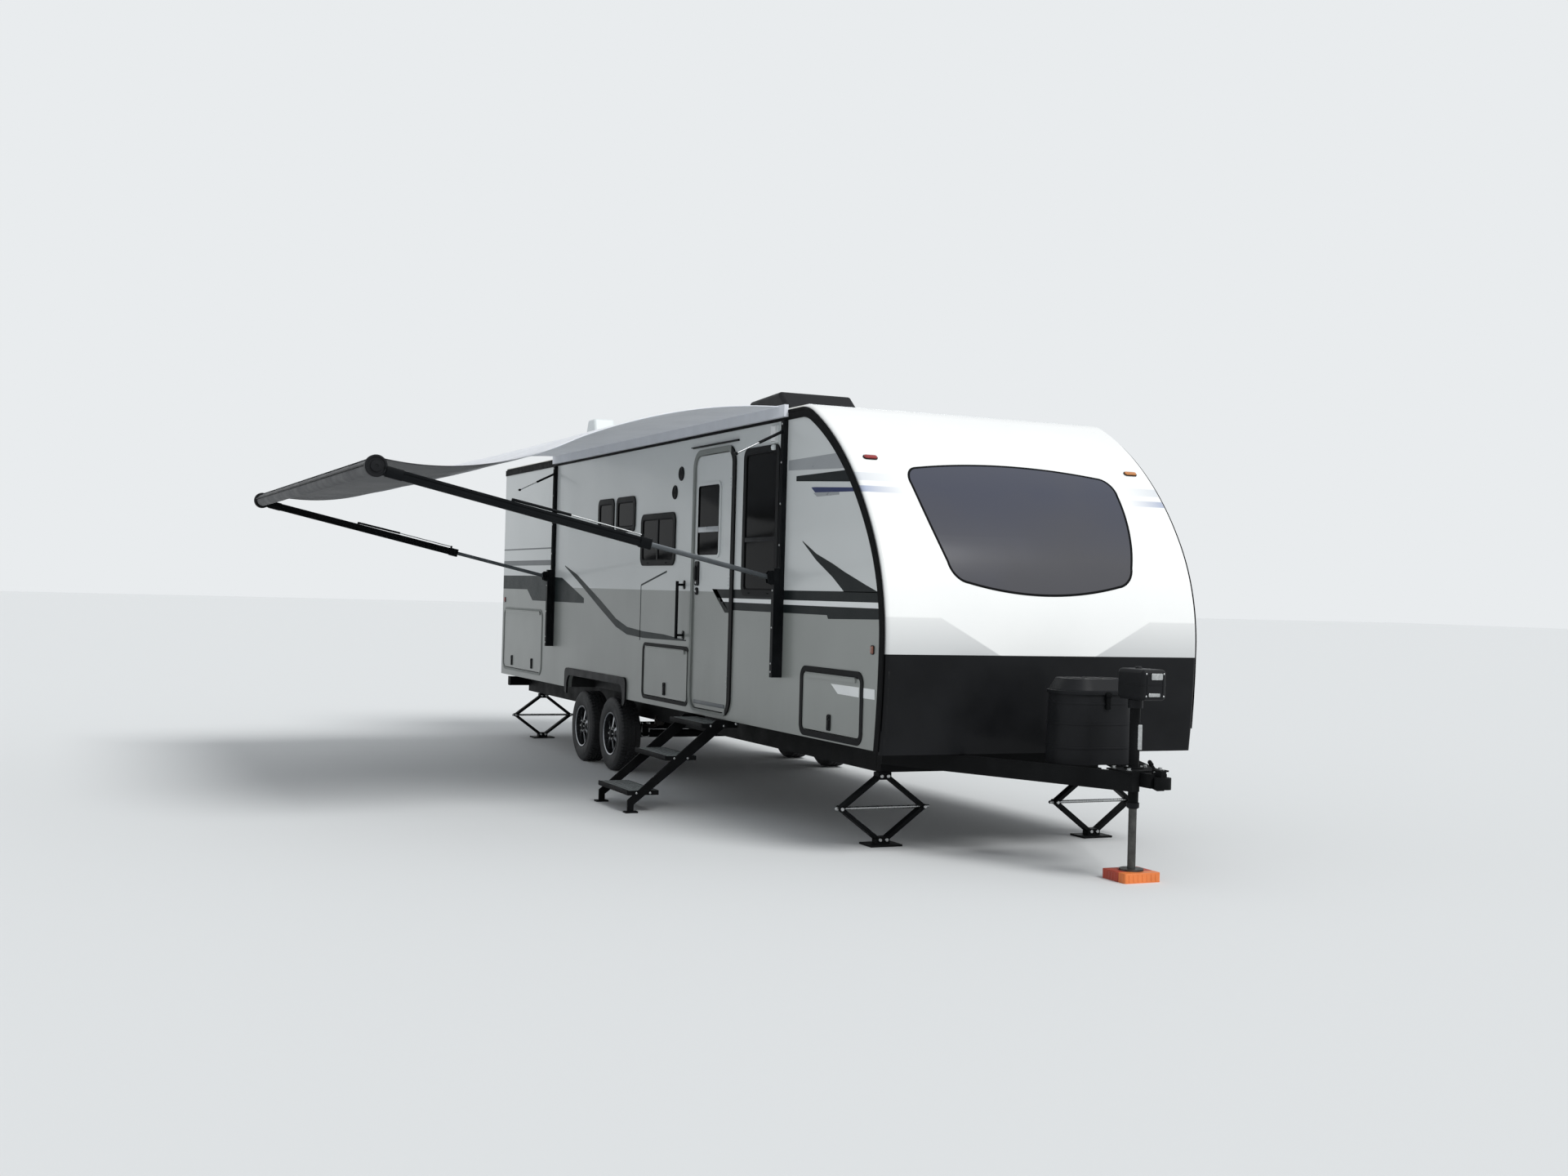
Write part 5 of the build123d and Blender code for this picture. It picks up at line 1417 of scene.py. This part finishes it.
def addRearDetails():
    dx, z = bumperLook["middle"]
    steps = (0, -0.004), (0, 0.004), (0.004, 0.008), (0.030, 0.009), (0.034, 0.006)
    plugs = [pillow(facing((rearX + dx, s * bumperLook["y"], z), s), 0.104, 0.104, 0.008, steps)
             for s in (-1, 1)]
    makePiece("bumper_plugs", plugs, "rubberTrim")
    y, z, width, height = bumperLook["plate"]
    holder = [ringFrame(rearSeat(y, z), width - 0.010, height - 0.010, 0.010, lip(0.014, 0.012)),
              softSlab(rearSeat(y, z + height / 2 + 0.026), 0.090, 0.032, 0.008, 0.036, 0.006)]
    makePiece("plate_holder", holder, "mouldedBlack")
    plate = softSlab(rearSeat(y, z), width - 0.012, height - 0.012, 0.010, 0.007, 0.001)
    makePiece("blank_plate", plate, "mouldedWhite")
    bolts = [(rearX - 0.007, y + dy, z + dz) for dy in (-0.100, 0.100) for dz in (-0.056, 0.056)]
    makePiece("plate_bolts", domes(bolts, 0.006, 0.003, -xAxis, 8), "zincSteel")


addRearDetails()

# Coupler: bolts through its plate, the latch's pin and pull ring, and a ribbed grip on the lever
couplerLook = dict(bolts=((-0.045, 0.115), (0.110, 0.115), (-0.045, -0.115), (0.110, -0.115)), plateZ=0.685,
                   latch=(0.235, 0.686), grip=(0.215, 0, 0.695), lever=(-0.065, 0, 0.050))


def addCouplerDetails():
    head = ((0.002, 0), (0.018, 0), (0.018, 0.003), (0.012, 0.003), (0.012, 0.013), (0.009, 0.015),
            (0.002, 0.015))
    steel = [lathe(head, (x, y, couplerLook["plateZ"]), zAxis, 6) for x, y in couplerLook["bolts"]]
    x, z = couplerLook["latch"]
    steel.append(pin((x, 0, z), yAxis, 0.006, 0.026, 12))
    ring = (circle(0.016, 24) + (x + 0.014, z)) @ np.array([xAxis, zAxis]) + (0, 0.030, 0)
    steel.append(sweep(ring, circle(0.0018, 8), yAxis, loop=True))
    ribs = [(0.0125 + 0.0012 * (k % 2), 0.045 + 0.004 * k) for k in range(9)]
    along = couplerLook["lever"] / np.linalg.norm(couplerLook["lever"])
    grip = lathe([(0.002, 0.045), *ribs, (0.002, 0.081)], couplerLook["grip"], along, 20, across=yAxis)
    makePiece("coupler_bolts", steel, "zincSteel")
    makePiece("coupler_grip", grip, "rubberTrim")


addCouplerDetails()

# Moulding insert: a ribbed vinyl strip that covers the screws, along the roof edge and down the nose
insertLook = dict(set=0.030, out=0.009, half=0.011, high=0.004, rearEnd=rearX + 0.070, foot=0.720)


def addMouldingInserts():
    line = noseLine(shellOut - insertLook["set"])[:, :2]
    line = line[line[:, 1] > insertLook["foot"]]
    line = line[np.append(True, np.linalg.norm(np.diff(line, axis=0), axis=1) > 1e-4)]
    roof = np.stack([np.linspace(insertLook["rearEnd"], line[0, 0] - 0.05, 30), np.full(30, line[0, 1])], -1)
    x, z = np.concatenate([roof, line]).T
    half, high = insertLook["half"], insertLook["high"]
    rise = ((-1, -0.001), (1, -0.001), (1, high * 0.4), (0.6, high), (0.2, high), (0, high * 0.6),
            (-0.2, high), (-0.6, high), (-1, high * 0.4))
    strips = [sweep(np.stack([x, 0 * x + side * (halfWidth + insertLook["out"]), z], -1),
                    np.array(rise) * (half, 1), side * yAxis) for side in (-1, 1)]
    makePiece("moulding_inserts", strips, "rubberTrim", smooth=50)


addMouldingInserts()
print("chassis, steps and rear fitted")

# Camera at the photograph's place: position, heading, pitch and roll in radians
cameraLook = dict(place=(8.510, -6.2355, 1.7008), yaw=2.71705, pitch=0.0032109, roll=0.0269013, lens=38.59,
                  sensor=36.0)


def addCamera():
    # Looks along (cos yaw cos pitch, sin yaw cos pitch, sin pitch), turned by roll about that line
    yaw, pitch, roll = cameraLook["yaw"], cameraLook["pitch"], cameraLook["roll"]
    ahead = Vector((cos(yaw) * cos(pitch), sin(yaw) * cos(pitch), sin(pitch)))
    level = Vector((sin(yaw), -cos(yaw), 0))
    upward = level.cross(ahead)
    right, top = cos(roll) * level + sin(roll) * upward, cos(roll) * upward - sin(roll) * level
    data = bpy.data.cameras.new("camera")
    data.lens, data.sensor_width, data.clip_end = cameraLook["lens"], cameraLook["sensor"], 500
    camera = bpy.data.objects.new("camera", data)
    turn = Matrix((right, top, -ahead)).transposed().to_4x4()
    camera.matrix_world = Matrix.Translation(cameraLook["place"]) @ turn
    bpy.context.scene.collection.objects.link(camera)
    bpy.context.scene.camera = camera


# Studio: a pale floor, an even sky and one large soft lamp high in front of the nose
stageLook = dict(reach=160, floor="#D9DBDB", backdrop="#E9ECEE", sky="#F3F6FA", skyPower=0.62, sun=2.1,
                 sunAngle=0.5, sunFrom=(0.80, 0.30, 0.95))


def addStage():
    reach, scene = stageLook["reach"], bpy.context.scene
    floor = bpy.data.objects.new("floor", bpy.data.meshes.new("floor"))
    corners = [(-reach, -reach, 0), (reach, -reach, 0), (reach, reach, 0), (-reach, reach, 0)]
    floor.data.from_pydata(corners, [], [(0, 1, 2, 3)])
    scene.collection.objects.link(floor)
    surface, _ = newMaterial("floorPaint")
    feed(surface, {"Base Color": stageLook["floor"], "Roughness": 0.85})
    floor.data.materials.append(finish["floorPaint"])
    scene.world = bpy.data.worlds.new("sky")
    scene.world.use_nodes = True
    tree = scene.world.node_tree
    tree.nodes.clear()
    path = addNode(tree, "LightPath").outputs
    seen = worked("MAXIMUM", worked("MAXIMUM", path["Is Camera Ray"], path["Is Glossy Ray"]),
                  path["Is Transmission Ray"])
    lit, shown = (addNode(tree, "Background", {"Color": colour, "Strength": power}).outputs[0]
                  for colour, power in ((stageLook["sky"], stageLook["skyPower"]),
                                        (stageLook["backdrop"], 1.0)))
    addNode(tree, "OutputWorld",
            {"Surface": addNode(tree, "MixShader", {0: seen, 1: lit, 2: shown}).outputs[0]})
    lamp = bpy.data.lights.new("keyLamp", "SUN")
    lamp.energy, lamp.angle = stageLook["sun"], stageLook["sunAngle"]
    sun = bpy.data.objects.new("keyLamp", lamp)
    sun.matrix_world = Vector(stageLook["sunFrom"]).to_track_quat("Z", "Y").to_matrix().to_4x4()
    scene.collection.objects.link(sun)
    scene.view_settings.view_transform = "Standard"


addCamera()
addStage()
print("camera and stage ready")
